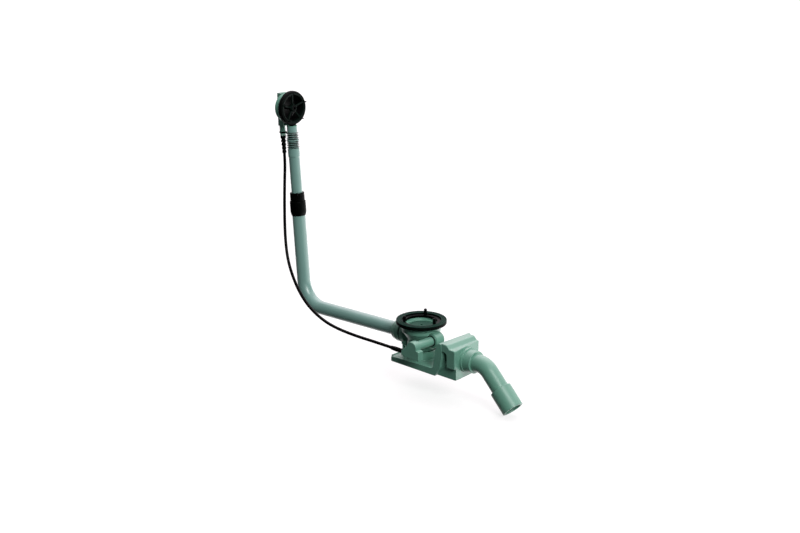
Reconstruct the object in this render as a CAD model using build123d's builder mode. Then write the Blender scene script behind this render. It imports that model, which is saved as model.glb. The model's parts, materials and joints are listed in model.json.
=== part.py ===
from build123d import *
from math import asin, cos, degrees, hypot, pi, radians, sin, tan
import os

os.makedirs("parts", exist_ok=True)

# Fits between pieces
push_gap = 0.1
run_gap = 0.05
loose_gap = 0.3

# Waste stack, measured from the seat plane at the top of the seal ring
seal_radius = 57.5
seal_inner_radius = 44.8
seal_height = 9.0
seal_groove_width = 1.6
seal_groove_depth = 0.8
peg_circle_radius = 40.0
peg_radius = 3.6
peg_height = 11.5
peg_count = 3
ring_inner_radius = 36.2
ring_recess = 3.5
flange_radius = 46.5
flange_thickness = 5.5
cup_radius = 38.0
cup_depth = 5.0
cup_wall = 3.0
shelf_drop = 27.0
shelf_width = 2.6
well_radius = 33.6
tail_radius = 31.5
tail_wall = 2.8
tail_bottom = 87.0
shoulder_drop = 25.5
funnel_drop = 41.0

# Lift plate and its guide
plate_radius = 28.5
plate_drop = 13.5
plate_thickness = 3.0
plate_lift = 14.0
stem_radius = 5.0
stem_length = 28.0
plug_bore_radius = 3.0
plug_bore_depth = 10.0
guide_height = 5.0
guide_hub_radius = 8.5
guide_hub_height = 8.0
guide_arm_width = 3.0
guide_ring_width = 2.4

# Lift shaft, lying across the bath, and the arm that lifts the stem
shaft_offset = 48.0
shaft_drop = 36.0
shaft_radius = 5.0
shaft_pin_radius = 4.0
shaft_pin_length = 3.0
shaft_square = 7.0
arm_tip_radius = 3.5
arm_neck = 2.0
arm_width = 8.0
arm_hub_radius = 8.0
chamber_radius = 17.0
chamber_wall = 3.5
chamber_front = 17.0
chamber_back = 10.0
chamber_round = 5.0
chamber_collar_radius = 15.0
chamber_collar_length = 1.6
shaft_ring_radius = 12.8
shaft_ring_width = 2.0

# Lever case in front of the body
case_front = 83.0
case_depth = 15.0
case_wall = 2.2
case_tube_radius = 10.5
case_head_radius = 13.5
case_right = 21.0
case_left = 32.0
case_base_drop = 26.5
case_shoulder_drop = 5.0
case_cover_thickness = 2.0
lever_arm = 18.4
lever_thickness = 3.5
lever_hub_radius = 8.4
lever_end = 4.6
nipple_radius = 2.5
wire_radius = 0.9
wire_bore_radius = 1.4
cable_plane = 74.5

# Bowden cable
sheath_radius = 3.6
lower_boot_length = 38.0
lower_boot_radius = 5.4
lower_boot_tip_radius = 4.6
lower_boot_neck_radius = 4.0
lower_boot_bore_depth = 18.0
lower_boot_rings = 3

# Overflow pipe: level run, bend and riser
branch_drop = 40.0
branch_fall = 2.2
riser_reach = 383.0
riser_lean = 5.0
pipe_radius = 16.0
pipe_wall = 2.0
pipe_bend_radius = 62.0
pipe_end = 37.0
riser_pipe_top = 238.0
flex_radius = 13.0
flex_neck_radius = 12.0
flex_wall = 1.8
flex_insert = 48.0
bellows_drop = 52.0
bellows_crest_radius = 14.8
bellows_root_radius = 11.6
lower_pitch = 4.3
lower_count = 4
upper_pitch = 5.4
upper_count = 3
bellows_band = 4.5
bellows_lip_radius = 14.0
bellows_lip_length = 22.0

# Union on the riser
union_bottom = 219.0
union_split = 253.4
union_top = 274.0
union_body_radius = 19.0
union_nut_radius = 17.2
union_seal_length = 8.0
union_ear_radius = 2.6
union_ear_height = 5.0
union_rib_count = 20
union_rib_depth = 0.7

# Inlet socket of the body, measured along the level run
socket_start = 35.5
socket_end = 48.0
socket_radius = 25.5
socket_bore_radius = 20.5
socket_seal_start = 39.5
neck_radius = 18.4
neck_bore_radius = 13.5
nut_end = 80.0
nut_big_radius = 25.5
nut_mid_radius = 22.5
nut_small_radius = 18.6
nut_drum_length = 11.0
nut_mid_length = 5.0
nut_spigot_length = 8.0
seal_lip_thickness = 4.0
seal_lip_inset = 2.2
post_radius = 4.0
post_reach = 43.0
post_side = 12.0

# Overflow head, in its own leaning frame
head_height = 477.0
duct_drop = 44.0
head_flange_radius = 38.0
head_flange_thickness = 3.0
head_front = 2.0
bowl_radius = 33.5
bowl_wall = 2.5
bowl_depth = 19.0
head_seal_radius = 40.2
head_seal_nose_radius = 38.2
head_seal_depth = 10.0
head_seal_inner_radius = 35.6
star_outer_radius = 35.4
star_inner_radius = 31.0
star_depth = 11.5
star_spokes = 5
star_spoke_width = 3.4
star_spoke_depth = 4.0
star_hub_radius = 9.0
star_pin_radius = 1.4
star_pin_length = 7.0
spigot_radius = 10.2
spigot_length = 10.0
drive_radius = 6.2
drive_square = 6.0
drive_socket_depth = 10.0
drive_shaft_radius = 4.0
crank_radius = 3.8
crank_disc_radius = 6.4
crank_disc_thickness = 2.5
crank_pin_radius = 1.6

# Actuator case behind the head
actuator_half_width = 9.0
actuator_depth = 18.5
actuator_wall = 1.6
actuator_top = 34.0
actuator_bottom = 44.0
actuator_boss_radius = 11.0
actuator_boss_depth = 0.5
actuator_round = 2.0
actuator_taper = 4.5
neck_offset = 33.2
neck_outer_radius = 7.0
neck_bottom = 64.5
slider_width = 13.4
slider_thickness = 4.0
slider_top = 9.0
slider_bottom = 10.0
slider_offset = 29.5
slider_foot_height = 3.0
slider_foot_width = 5.0
slider_rod_radius = 1.2
slider_rod_length = 8.0
strap_height = 3.2
strap_thickness = 1.3
strap_drop = 62.0
strap_bead_radius = 1.8
collar_radius = 6.6
collar_height = 4.0
upper_boot_length = 42.0
upper_boot_radius = 6.8
upper_boot_tip_radius = 5.0
upper_boot_ribs = 4
upper_boot_grip = 22.0
rib_groove_top = 2.0
rib_groove_tip = 0.9

# Trap
trap_floor = -101.0
trap_front = -38.5
trap_back = 46.0
trap_band = 9.5
trap_back_band = 4.0
trap_wall = 3.0
pan_left = -57.0
pan_rim_drop = 3.0
pan_inset = 8.0
deck_depth = 1.4
deck_rim = 2.5
deck_right = -39.0
pan_top_left = -90.0
pan_top_right = -85.0
hump_left = 86.0
hump_right = 142.0
hump_right_back = 133.0
hump_top = -21.5
hump_shoulder = -30.3
hump_shoulder_left = 128.0
channel_width = 18.0
band_flare = 15.0
band_knee = 22.0
band_waist = 34.0
hump_crown = 18.0
band_top_drop = 8.0
weir_height = -46.0
weir_left = 104.0
weir_right = 119.0
chamber_floor = -82.0
slot_width = 8.0
slot_top = -40.0
slot_bottom = -66.0
slot_depth = 12.0
cover_thickness = 8.8
cover_proud = 3.0
cover_bottom = -73.0
cover_lip = 1.5
cover_wall = 2.4
cover_bevel = 1.2
groove_right = 120.4
arch_top = -39.5
arch_radius = 6.0
collar_outer_radius = 37.0
collar_top = -68.0
trap_seal_height = 8.0
trap_seal_width = 3.0

# Outlet
outlet_level = -61.0
outlet_start = 168.0
outlet_collar_radius = 25.6
outlet_base_radius = 28.0
outlet_base_length = 5.0
outlet_pipe_radius = 20.0
outlet_pipe_wall = 2.2
outlet_seal_radius = 22.6
outlet_seal_length = 12.0
outlet_insert = 150.0
outlet_corner = 196.0
outlet_bend_radius = 44.0
outlet_turn = 45.0
outlet_reach = 114.6
sleeve_radius = 25.0
sleeve_length = 53.0
sleeve_rest = 9.0
sleeve_edge = 1.2

# Levels of the upper pipe, which follow the head and the riser pipe
flex_bottom = riser_pipe_top - flex_insert
flex_top = head_height - duct_drop
bellows_start = flex_top - bellows_drop

# Leaning frame of the riser and the head
lean = radians(riser_lean)
fall = radians(branch_fall)
riser_dir = Vector(-sin(lean), 0, cos(lean))
face_dir = Vector(cos(lean), 0, sin(lean))
branch_dir = Vector(-cos(fall), 0, -sin(fall))
branch_origin = Vector(0, 0, -branch_drop)
riser_foot = branch_origin + branch_dir * (riser_reach / cos(fall))
head_centre = riser_foot + riser_dir * head_height
side = Vector(0, -1, 0)

riser_section = Plane(origin=riser_foot, x_dir=face_dir, z_dir=side)
riser_axis = Axis(riser_foot, riser_dir)
head_section = Plane(origin=head_centre, x_dir=face_dir, z_dir=side)
head_axis = Axis(head_centre, face_dir)
branch_section = Plane(origin=branch_origin, x_dir=branch_dir, z_dir=side)
branch_axis = Axis(branch_origin, branch_dir)


def head_plane(distance):
    """Plane across the head at a distance in front of the riser's axis, Y to the right, riser up."""
    return Plane(origin=head_centre + face_dir * distance, x_dir=(0, 1, 0), z_dir=face_dir)


def riser_plane(height, offset=0.0):
    """Plane across the riser, at a height along it and an offset towards the bath."""
    return Plane(origin=riser_foot + riser_dir * height + face_dir * offset, x_dir=face_dir, z_dir=riser_dir)


def head_level(height, offset=0.0):
    """Plane across the riser at a height from the centre of the head."""
    return riser_plane(head_height + height, offset)


# Waste seal ring, with grooves in its top that grip the bath
with BuildPart() as waste_seal_ring:
    with BuildSketch(Plane.XZ) as ring_section:
        with BuildLine():
            FilletPolyline(
                (seal_inner_radius, -seal_height),
                (seal_radius, -seal_height),
                (seal_radius, 0),
                (seal_inner_radius, 0),
                radius=[0, 1.5, 2.2, 0.8],
                close=True,
            )
        make_face()
        groove_step = (seal_radius - seal_inner_radius) / 3
        with Locations((seal_inner_radius + groove_step, 0), (seal_inner_radius + 2 * groove_step, 0)):
            Rectangle(seal_groove_width, 2 * seal_groove_depth, mode=Mode.SUBTRACT)
    revolve(axis=Axis.Z)
waste_seal_ring.part.label = "waste_seal_ring"

# Centring ring with its pegs, which find the hole in the bath
ring_outer_radius = seal_inner_radius - push_gap
with BuildPart() as centring_ring:
    with BuildSketch(Plane.XZ):
        with BuildLine():
            FilletPolyline(
                (ring_inner_radius, -seal_height),
                (ring_outer_radius, -seal_height),
                (ring_outer_radius, -ring_recess),
                (ring_inner_radius, -ring_recess),
                radius=[0, 0, 0.4, 0],
                close=True,
            )
        make_face()
    revolve(axis=Axis.Z)
    with BuildSketch(Plane.XY.offset(-seal_height + 1)):
        with PolarLocations(peg_circle_radius, peg_count):
            Circle(peg_radius)
    extrude(amount=peg_height + seal_height - 1)
    peg_ends = centring_ring.edges().filter_by(GeomType.CIRCLE).group_by(Axis.Z)[-1]
    fillet(peg_ends, radius=peg_radius * 0.75)
centring_ring.part.label = "centring_ring"

# Waste body: cup, funnel and tail turned about the drain, then the chamber, the socket and a post
well_floor = -shelf_drop
tail_bore = tail_radius - tail_wall
with BuildPart() as waste_body:
    with BuildSketch(Plane.XZ):
        with BuildLine():
            FilletPolyline(
                (0, -seal_height),
                (flange_radius, -seal_height),
                (flange_radius, -seal_height - flange_thickness),
                (flange_radius - 1.6, -seal_height - flange_thickness),
                (flange_radius - 1.6, -shoulder_drop),
                (tail_radius + 2, -funnel_drop),
                (tail_radius, -funnel_drop - 3),
                (tail_radius, -tail_bottom),
                (0, -tail_bottom),
                radius=[0, 1.5, 0, 0, 4, 3, 0, 0.8, 0],
                close=True,
            )
        make_face()
    revolve(axis=Axis.Z)
    # Lift chamber, a drum lying across, and the block that joins it to the funnel
    with BuildSketch(Plane.XZ.offset(chamber_front)):
        with Locations((shaft_offset, -shaft_drop)):
            Circle(chamber_radius)
    extrude(amount=-(chamber_front + chamber_back))
    chamber_end = waste_body.edges().filter_by(GeomType.CIRCLE).group_by(Axis.Y)[-1]
    fillet(chamber_end, radius=chamber_round)
    block_inner = tail_radius - 1
    with BuildSketch(Plane.XY.offset(-shaft_drop - chamber_radius)):
        with Locations(((block_inner + shaft_offset) / 2, 0)):
            Rectangle(shaft_offset - block_inner, 2 * (chamber_back - chamber_round))
    extrude(amount=2 * chamber_radius - chamber_wall)
    with BuildSketch(Plane.XZ.offset(chamber_front)):
        with Locations((shaft_offset, -shaft_drop)):
            Circle(chamber_collar_radius)
    extrude(amount=chamber_collar_length)
    # Inlet socket for the overflow pipe
    with BuildSketch(branch_section):
        with BuildLine():
            FilletPolyline(
                (tail_radius - 3, 0),
                (tail_radius - 3, neck_radius),
                (socket_start, neck_radius),
                (socket_start + 1.5, socket_radius - 1),
                (socket_start + 4, socket_radius),
                (socket_end, socket_radius),
                (socket_end, 0),
                radius=[0, 0, 1, 0.8, 1, 1, 0],
                close=True,
            )
        make_face()
    revolve(axis=branch_axis)
    # Post that stands on the trap, with a web to the tail
    with BuildSketch(Plane.XY.offset(-branch_drop - socket_radius + 4)):
        with Locations((-post_reach, -post_side)):
            Circle(post_radius)
    post_slope = (pan_top_right - pan_top_left) / (hump_left - pan_left)
    post_foot = pan_top_left + post_slope * (-post_reach + post_radius - pan_left)
    extrude(amount=post_foot - deck_depth + branch_drop + socket_radius - 4)
    web_reach = post_reach + post_radius
    with BuildSketch(Plane.XY.offset(collar_top + loose_gap)):
        with Locations((-(web_reach + block_inner) / 2, -post_side)):
            Rectangle(web_reach - block_inner, 2 * post_radius)
    extrude(amount=-branch_drop - collar_top - loose_gap)
    # Hollow of cup, well and tail
    with BuildSketch(Plane.XZ):
        with BuildLine():
            FilletPolyline(
                (0, -seal_height + 1),
                (cup_radius, -seal_height + 1),
                (cup_radius - 1, -seal_height - cup_depth),
                (well_radius, -seal_height - cup_depth),
                (well_radius, well_floor),
                (well_radius - shelf_width, well_floor),
                (well_radius - shelf_width, well_floor - 3),
                (tail_bore, -funnel_drop),
                (tail_bore, -tail_bottom - 1),
                (0, -tail_bottom - 1),
                radius=[0, 0, 1, 1, 0, 0, 0, 3, 0, 0],
                close=True,
            )
        make_face()
    revolve(axis=Axis.Z, mode=Mode.SUBTRACT)
    # Flat for the ring on the tube of the lever case
    with BuildSketch(Plane.XZ.offset(chamber_front + chamber_collar_length)):
        with Locations((shaft_offset, -shaft_drop)):
            Circle(shaft_ring_radius + loose_gap)
    extrude(amount=seal_radius - chamber_front, mode=Mode.SUBTRACT)
    # Bores
    with BuildSketch(branch_section):
        with BuildLine():
            Polyline(
                (tail_bore - 3, 0),
                (tail_bore - 3, neck_bore_radius),
                (pipe_end - 2, neck_bore_radius),
                (pipe_end - 2, pipe_radius + push_gap),
                (socket_seal_start, pipe_radius + push_gap),
                (socket_seal_start, socket_bore_radius),
                (socket_end + 1, socket_bore_radius),
                (socket_end + 1, 0),
                close=True,
            )
        make_face()
    revolve(axis=branch_axis, mode=Mode.SUBTRACT)
    with BuildSketch(Plane.XZ.offset(chamber_front - chamber_wall)):
        with Locations((shaft_offset, -shaft_drop)):
            Circle(chamber_radius - chamber_wall)
    extrude(amount=-(chamber_front + chamber_back - 2 * chamber_wall - 0.5), mode=Mode.SUBTRACT)
    with BuildSketch(Plane.XZ.offset(chamber_front + chamber_collar_length)):
        with Locations((shaft_offset, -shaft_drop)):
            Circle(case_tube_radius + push_gap)
    extrude(amount=-(chamber_wall + chamber_collar_length), mode=Mode.SUBTRACT)
    pin_mouth = chamber_back - chamber_wall - 0.5
    with BuildSketch(Plane.XZ.offset(-pin_mouth)):
        with Locations((shaft_offset, -shaft_drop)):
            Circle(shaft_pin_radius + run_gap)
    extrude(amount=-shaft_pin_length, mode=Mode.SUBTRACT)
    window_top = -shaft_drop + 10
    window_bottom = -shaft_drop - 11
    window_inner = tail_bore - 6
    with BuildSketch(Plane.XY.offset(window_bottom)):
        with Locations(((window_inner + shaft_offset) / 2, 0)):
            Rectangle(shaft_offset - window_inner, arm_width + 4)
    extrude(amount=window_top - window_bottom, mode=Mode.SUBTRACT)
waste_body.part.label = "waste_body"

# Guide that holds the stem of the lift plate in the middle of the cup
guide_outer = well_radius - push_gap
with BuildPart() as guide_star:
    with BuildSketch(Plane.XY.offset(well_floor)):
        Circle(guide_outer)
        Circle(guide_outer - guide_ring_width, mode=Mode.SUBTRACT)
        with PolarLocations(guide_outer / 2, 3, start_angle=60):
            Rectangle(guide_outer - 1, guide_arm_width)
    extrude(amount=guide_height)
    with BuildSketch(Plane.XY.offset(well_floor)):
        Circle(guide_hub_radius)
    extrude(amount=guide_hub_height)
    with BuildSketch(Plane.XY.offset(well_floor)):
        Circle(stem_radius + run_gap)
    extrude(amount=guide_hub_height, mode=Mode.SUBTRACT)
guide_star.part.label = "guide_star"

# Lift plate: a shallow dish on a stem, with a bore for the plug
with BuildPart() as lift_plate:
    with BuildSketch(Plane.XZ):
        with BuildLine():
            FilletPolyline(
                (plug_bore_radius, -plate_drop),
                (plate_radius - 3, -plate_drop),
                (plate_radius, -plate_drop - 0.8),
                (plate_radius, -plate_drop - plate_thickness + 1),
                (stem_radius + 3, -plate_drop - plate_thickness),
                (stem_radius, -plate_drop - plate_thickness - 1),
                (stem_radius, -plate_drop - stem_length),
                (0, -plate_drop - stem_length),
                (0, -plate_drop - plug_bore_depth),
                (plug_bore_radius, -plate_drop - plug_bore_depth),
                radius=[0.5, 1, 0.6, 0.6, 1, 0.5, 1, 0, 0, 0],
                close=True,
            )
        make_face()
    revolve(axis=Axis.Z)
lift_plate.part.label = "lift_plate"

# Lift shaft with the arm whose tip stands under the stem
stem_foot = -plate_drop - stem_length
tip_level = stem_foot - loose_gap - arm_tip_radius
arm_slope = (-shaft_drop - tip_level) / shaft_offset
case_back = case_front - case_depth
square_front = case_front - case_cover_thickness - 1
square_back = square_front - lever_thickness - 2
with BuildPart() as lift_shaft:
    with BuildSketch(Plane.XZ.offset(square_back)):
        with Locations((shaft_offset, -shaft_drop)):
            Circle(shaft_radius)
    extrude(amount=-(square_back + pin_mouth - loose_gap))
    with BuildSketch(Plane.XZ.offset(-(pin_mouth - loose_gap))):
        with Locations((shaft_offset, -shaft_drop)):
            Circle(shaft_pin_radius)
    extrude(amount=-shaft_pin_length)
    with BuildSketch(Plane.XZ.offset(square_front)):
        with Locations((shaft_offset, -shaft_drop)):
            Rectangle(shaft_square, shaft_square)
    extrude(amount=-(square_front - square_back))
    with BuildSketch(Plane.XZ.offset(arm_width / 2)):
        with Locations((shaft_offset, -shaft_drop)):
            Circle(arm_hub_radius)
        with BuildLine():
            Polyline(
                (shaft_offset, -shaft_drop + arm_tip_radius + 1),
                (2 * stem_radius, tip_level + arm_slope * 2 * stem_radius + arm_neck),
                (0, tip_level + arm_neck),
                (0, tip_level - arm_tip_radius),
                (shaft_offset, -shaft_drop - arm_tip_radius - 1),
                close=True,
            )
        make_face()
        with Locations((0, tip_level)):
            Circle(arm_tip_radius)
    extrude(amount=-arm_width)
lift_shaft.part.label = "lift_shaft"

# Ring that seals the case's tube in the collar of the chamber
ring_face = chamber_front + chamber_collar_length
with BuildPart() as shaft_o_ring:
    with BuildSketch(Plane.XZ.offset(ring_face)):
        with Locations((shaft_offset, -shaft_drop)):
            Circle(shaft_ring_radius)
            Circle(case_tube_radius + push_gap, mode=Mode.SUBTRACT)
    extrude(amount=shaft_ring_width)
    fillet(shaft_o_ring.edges().filter_by(GeomType.CIRCLE), radius=0.6)
shaft_o_ring.part.label = "shaft_o_ring"

# Outline of the lever case, round over the shaft and long below towards the cable
cable_level = -shaft_drop - lever_arm
case_base = -shaft_drop - case_base_drop
case_points = [
    (shaft_offset - case_left, cable_level + 5),
    (shaft_offset - case_head_radius - 1.5, -shaft_drop + 1),
    (shaft_offset - case_head_radius + 3, -shaft_drop + case_head_radius),
    (shaft_offset + case_head_radius, -shaft_drop + case_head_radius),
    (shaft_offset + case_head_radius, -shaft_drop - case_shoulder_drop + 1),
    (shaft_offset + case_right, -shaft_drop - case_shoulder_drop),
    (shaft_offset + case_right, case_base),
    (shaft_offset - case_right, case_base),
    (shaft_offset - case_left, cable_level - 5),
]
case_radii = [3, 4, 11, 13, 1, 2, 1.5, 2, 1.5]
boss_floor = case_front - case_cover_thickness
with BuildPart() as lever_case:
    with BuildSketch(Plane.XZ.offset(boss_floor)):
        with BuildLine():
            FilletPolyline(*case_points, radius=case_radii, close=True)
        make_face()
    extrude(amount=-(boss_floor - case_back))
    with BuildSketch(Plane.XZ.offset(boss_floor)):
        with BuildLine():
            FilletPolyline(*case_points, radius=case_radii, close=True)
        make_face()
        offset(amount=-case_wall)
    extrude(amount=-(boss_floor - case_back - case_wall), mode=Mode.SUBTRACT)
    with BuildSketch(Plane.XZ.offset(case_back + 0.5)):
        with Locations((shaft_offset, -shaft_drop)):
            Circle(case_tube_radius)
    extrude(amount=-(case_back + 0.5 - chamber_front))
    with BuildSketch(Plane.XZ.offset(boss_floor)):
        with Locations((shaft_offset, -shaft_drop)):
            Circle(shaft_radius + run_gap)
    extrude(amount=-(boss_floor - chamber_front + 1), mode=Mode.SUBTRACT)
    with BuildSketch(Plane.YZ.offset(shaft_offset - case_left - 1)):
        with Locations((-cable_plane, cable_level)):
            Circle(lower_boot_neck_radius + push_gap)
    extrude(amount=case_wall + 3, mode=Mode.SUBTRACT)
lever_case.part.label = "lever_case"

with BuildPart() as lever_case_cover:
    with BuildSketch(Plane.XZ.offset(case_front)):
        with BuildLine():
            FilletPolyline(*case_points, radius=case_radii, close=True)
        make_face()
    extrude(amount=-case_cover_thickness)
    front_rim = lever_case_cover.faces().sort_by(Axis.Y)[0].edges()
    chamfer(front_rim, length=0.6)
lever_case_cover.part.label = "lever_case_cover"

# Lever on the square of the shaft, forked for the nipple of the wire
lever_back = square_front - 0.5
with BuildPart() as lever:
    with BuildSketch(Plane.XZ.offset(lever_back)):
        with Locations((shaft_offset, -shaft_drop)):
            Circle(lever_hub_radius)
        with Locations((shaft_offset, -shaft_drop - (lever_arm + lever_end) / 2)):
            Rectangle(2 * (nipple_radius + 3), lever_arm + lever_end)
        with Locations((shaft_offset, cable_level - lever_end / 2)):
            SlotCenterToCenter(lever_end + 4, 2 * (nipple_radius + 0.15), rotation=90, mode=Mode.SUBTRACT)
        with Locations((shaft_offset, -shaft_drop)):
            Rectangle(shaft_square + 2 * push_gap, shaft_square + 2 * push_gap, mode=Mode.SUBTRACT)
    extrude(amount=-lever_thickness)
lever.part.label = "lever"

# Lower end of the inner wire with its nipple in the lever's fork
boot_seat = shaft_offset - case_left
sheath_end_x = boot_seat - lower_boot_length + lower_boot_bore_depth
wire_travel = lever_arm * plate_lift / shaft_offset + loose_gap
wire_start = sheath_end_x + wire_travel + 1
with BuildPart() as lower_wire_end:
    with BuildSketch(Plane.XZ.offset(lever_back)):
        with Locations((shaft_offset, cable_level)):
            Circle(nipple_radius)
    extrude(amount=-(lever_back - cable_plane + nipple_radius - 0.5))
    with BuildSketch(Plane.YZ.offset(wire_start)):
        with Locations((-cable_plane, cable_level)):
            Circle(wire_radius)
    extrude(amount=shaft_offset - wire_start)
lower_wire_end.part.label = "lower_wire_end"

# Lower boot: a ringed ferrule that carries the sheath to the case
lower_section = Plane(
    origin=(boot_seat, -cable_plane, cable_level), x_dir=(-1, 0, 0), z_dir=(0, -1, 0)
)
lower_axis = Axis((boot_seat, -cable_plane, cable_level), (-1, 0, 0))
with BuildPart() as lower_cable_boot:
    with BuildSketch(lower_section):
        with BuildLine():
            Polyline(
                (-case_wall - 1, wire_bore_radius),
                (-case_wall - 1, lower_boot_neck_radius),
                (0, lower_boot_neck_radius),
                (0, lower_boot_radius),
                (lower_boot_length * 0.55, lower_boot_radius),
                (lower_boot_length, lower_boot_tip_radius),
                (lower_boot_length, sheath_radius + push_gap),
                (lower_boot_length - lower_boot_bore_depth, sheath_radius + push_gap),
                (lower_boot_length - lower_boot_bore_depth, wire_bore_radius),
                close=True,
            )
        make_face()
        for ring in range(lower_boot_rings):
            with Locations((6 + 5 * ring, lower_boot_radius)):
                Rectangle(1.6, 1.2, mode=Mode.SUBTRACT)
    revolve(axis=lower_axis)
lower_cable_boot.part.label = "lower_cable_boot"

# Inlet seal with a lip that shows between socket and nut, and the flared nut
seal_outer = socket_bore_radius - push_gap
with BuildPart() as inlet_seal:
    with BuildSketch(branch_section):
        with BuildLine():
            Polyline(
                (socket_seal_start + 0.2, pipe_radius + push_gap),
                (socket_seal_start + 0.2, seal_outer),
                (socket_end, seal_outer),
                (socket_end, socket_radius - seal_lip_inset),
                (socket_end + seal_lip_thickness, socket_radius - seal_lip_inset),
                (socket_end + seal_lip_thickness, seal_outer - 2),
                (socket_end - nut_spigot_length, seal_outer - 2),
                (socket_end - nut_spigot_length, pipe_radius + push_gap),
                close=True,
            )
        make_face()
    revolve(axis=branch_axis)
inlet_seal.part.label = "inlet_seal"

nut_start = socket_end + seal_lip_thickness
with BuildPart() as inlet_nut:
    with BuildSketch(branch_section):
        with BuildLine():
            FilletPolyline(
                (socket_end - nut_spigot_length, pipe_radius + push_gap),
                (socket_end - nut_spigot_length, seal_outer - 2 - push_gap),
                (nut_start, seal_outer - 2 - push_gap),
                (nut_start, nut_big_radius),
                (nut_start + nut_drum_length, nut_big_radius),
                (nut_end - nut_mid_length, nut_mid_radius),
                (nut_end, nut_small_radius),
                (nut_end, pipe_radius + push_gap),
                radius=[0, 0, 0, 1, 2, 3, 1, 0],
                close=True,
            )
        make_face()
    revolve(axis=branch_axis)
inlet_nut.part.label = "inlet_nut"

# Overflow pipe: level run, bend and riser in one length
with BuildPart() as overflow_bend_pipe:
    with BuildLine() as pipe_route:
        FilletPolyline(
            branch_origin + branch_dir * pipe_end,
            riser_foot,
            riser_foot + riser_dir * riser_pipe_top,
            radius=[pipe_bend_radius],
        )
    with BuildSketch(Plane(origin=pipe_route.line @ 0, z_dir=pipe_route.line % 0)):
        Circle(pipe_radius)
        Circle(pipe_radius - pipe_wall, mode=Mode.SUBTRACT)
    sweep(path=pipe_route.line)
overflow_bend_pipe.part.label = "overflow_bend_pipe"

# Union: lower body, inner seal and the nut with its two ears
flex_bore = flex_radius + push_gap
with BuildPart() as union_body:
    with BuildSketch(riser_section):
        with BuildLine():
            FilletPolyline(
                (pipe_radius + push_gap, union_bottom),
                (union_body_radius - 2, union_bottom),
                (union_body_radius, union_bottom + 8),
                (union_body_radius, union_split),
                (pipe_radius + push_gap, union_split),
                radius=[0, 0.4, 3, 1.2, 0],
                close=True,
            )
        make_face()
    revolve(axis=riser_axis)
    with BuildSketch(riser_plane(union_bottom + 12)):
        with PolarLocations(union_body_radius + 0.3, union_rib_count):
            Circle(union_rib_depth)
    extrude(amount=union_split - union_bottom - 15, mode=Mode.SUBTRACT)
union_body.part.label = "union_body"

seal_top = riser_pipe_top + union_seal_length
with BuildPart() as union_seal:
    with BuildSketch(riser_section):
        with BuildLine():
            Polyline(
                (flex_bore, riser_pipe_top),
                (pipe_radius, riser_pipe_top),
                (pipe_radius, seal_top),
                (flex_bore, seal_top - 1.5),
                close=True,
            )
        make_face()
    revolve(axis=riser_axis)
union_seal.part.label = "union_seal"

with BuildPart() as union_nut:
    with BuildSketch(riser_section):
        with BuildLine():
            FilletPolyline(
                (flex_bore, seal_top - 1.5),
                (pipe_radius, seal_top),
                (pipe_radius, union_split),
                (union_nut_radius, union_split),
                (union_nut_radius, union_top),
                (flex_bore, union_top),
                radius=[0, 0, 0, 0, 1.5, 0],
                close=True,
            )
        make_face()
    revolve(axis=riser_axis)
    with BuildSketch(riser_plane(union_split + 3)):
        with PolarLocations(union_nut_radius + 0.3, union_rib_count, start_angle=9):
            Circle(union_rib_depth)
    extrude(amount=union_top - union_split - 8, mode=Mode.SUBTRACT)
    with BuildSketch(riser_plane(union_top - union_ear_height)):
        with PolarLocations(union_nut_radius - 0.6, 2, start_angle=-45):
            Circle(union_ear_radius)
    extrude(amount=union_ear_height + 1.5)
    with BuildSketch(riser_plane(union_top - union_ear_height)):
        Circle(flex_bore)
    extrude(amount=union_ear_height + 3, mode=Mode.SUBTRACT)
union_nut.part.label = "union_nut"

# Upper pipe with its bellows: crests and roots repeat along the wall, round a plain band
lower_top = bellows_start + lower_pitch * lower_count
band_top = lower_top + bellows_band
bellows_top = band_top + upper_pitch * upper_count
outer_wall = [(flex_radius, flex_bottom), (flex_radius, bellows_start - bellows_lip_length)]
outer_wall += [(bellows_lip_radius, bellows_start - bellows_lip_length + 3)]
outer_wall += [(bellows_lip_radius, bellows_start - 2)]
inner_wall = [(flex_radius - flex_wall, flex_bottom)]
inner_wall += [(flex_radius - flex_wall, bellows_start - 4)]
for count, pitch, start in ((lower_count, lower_pitch, bellows_start), (upper_count, upper_pitch, band_top)):
    for turn in range(count):
        foot = start + pitch * turn
        outer_wall += [(bellows_root_radius, foot), (bellows_root_radius, foot + 0.35 * pitch)]
        outer_wall += [(bellows_crest_radius, foot + 0.5 * pitch), (bellows_crest_radius, foot + 0.85 * pitch)]
        inner_wall += [(bellows_root_radius - flex_wall, foot), (bellows_root_radius - flex_wall, foot + 0.3 * pitch)]
        inner_wall += [(bellows_crest_radius - flex_wall, foot + 0.55 * pitch)]
        inner_wall += [(bellows_crest_radius - flex_wall, foot + 0.8 * pitch)]
outer_wall += [(bellows_root_radius, bellows_top + 0.5), (flex_neck_radius, bellows_top + 1)]
outer_wall += [(flex_neck_radius, flex_top)]
inner_wall += [(spigot_radius + push_gap, bellows_top + 0.5), (spigot_radius + push_gap, flex_top)]
with BuildPart() as overflow_flex_pipe:
    with BuildSketch(riser_section):
        with BuildLine():
            Polyline(*outer_wall, *reversed(inner_wall), close=True)
        make_face()
    revolve(axis=riser_axis)
overflow_flex_pipe.part.label = "overflow_flex_pipe"

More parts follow.
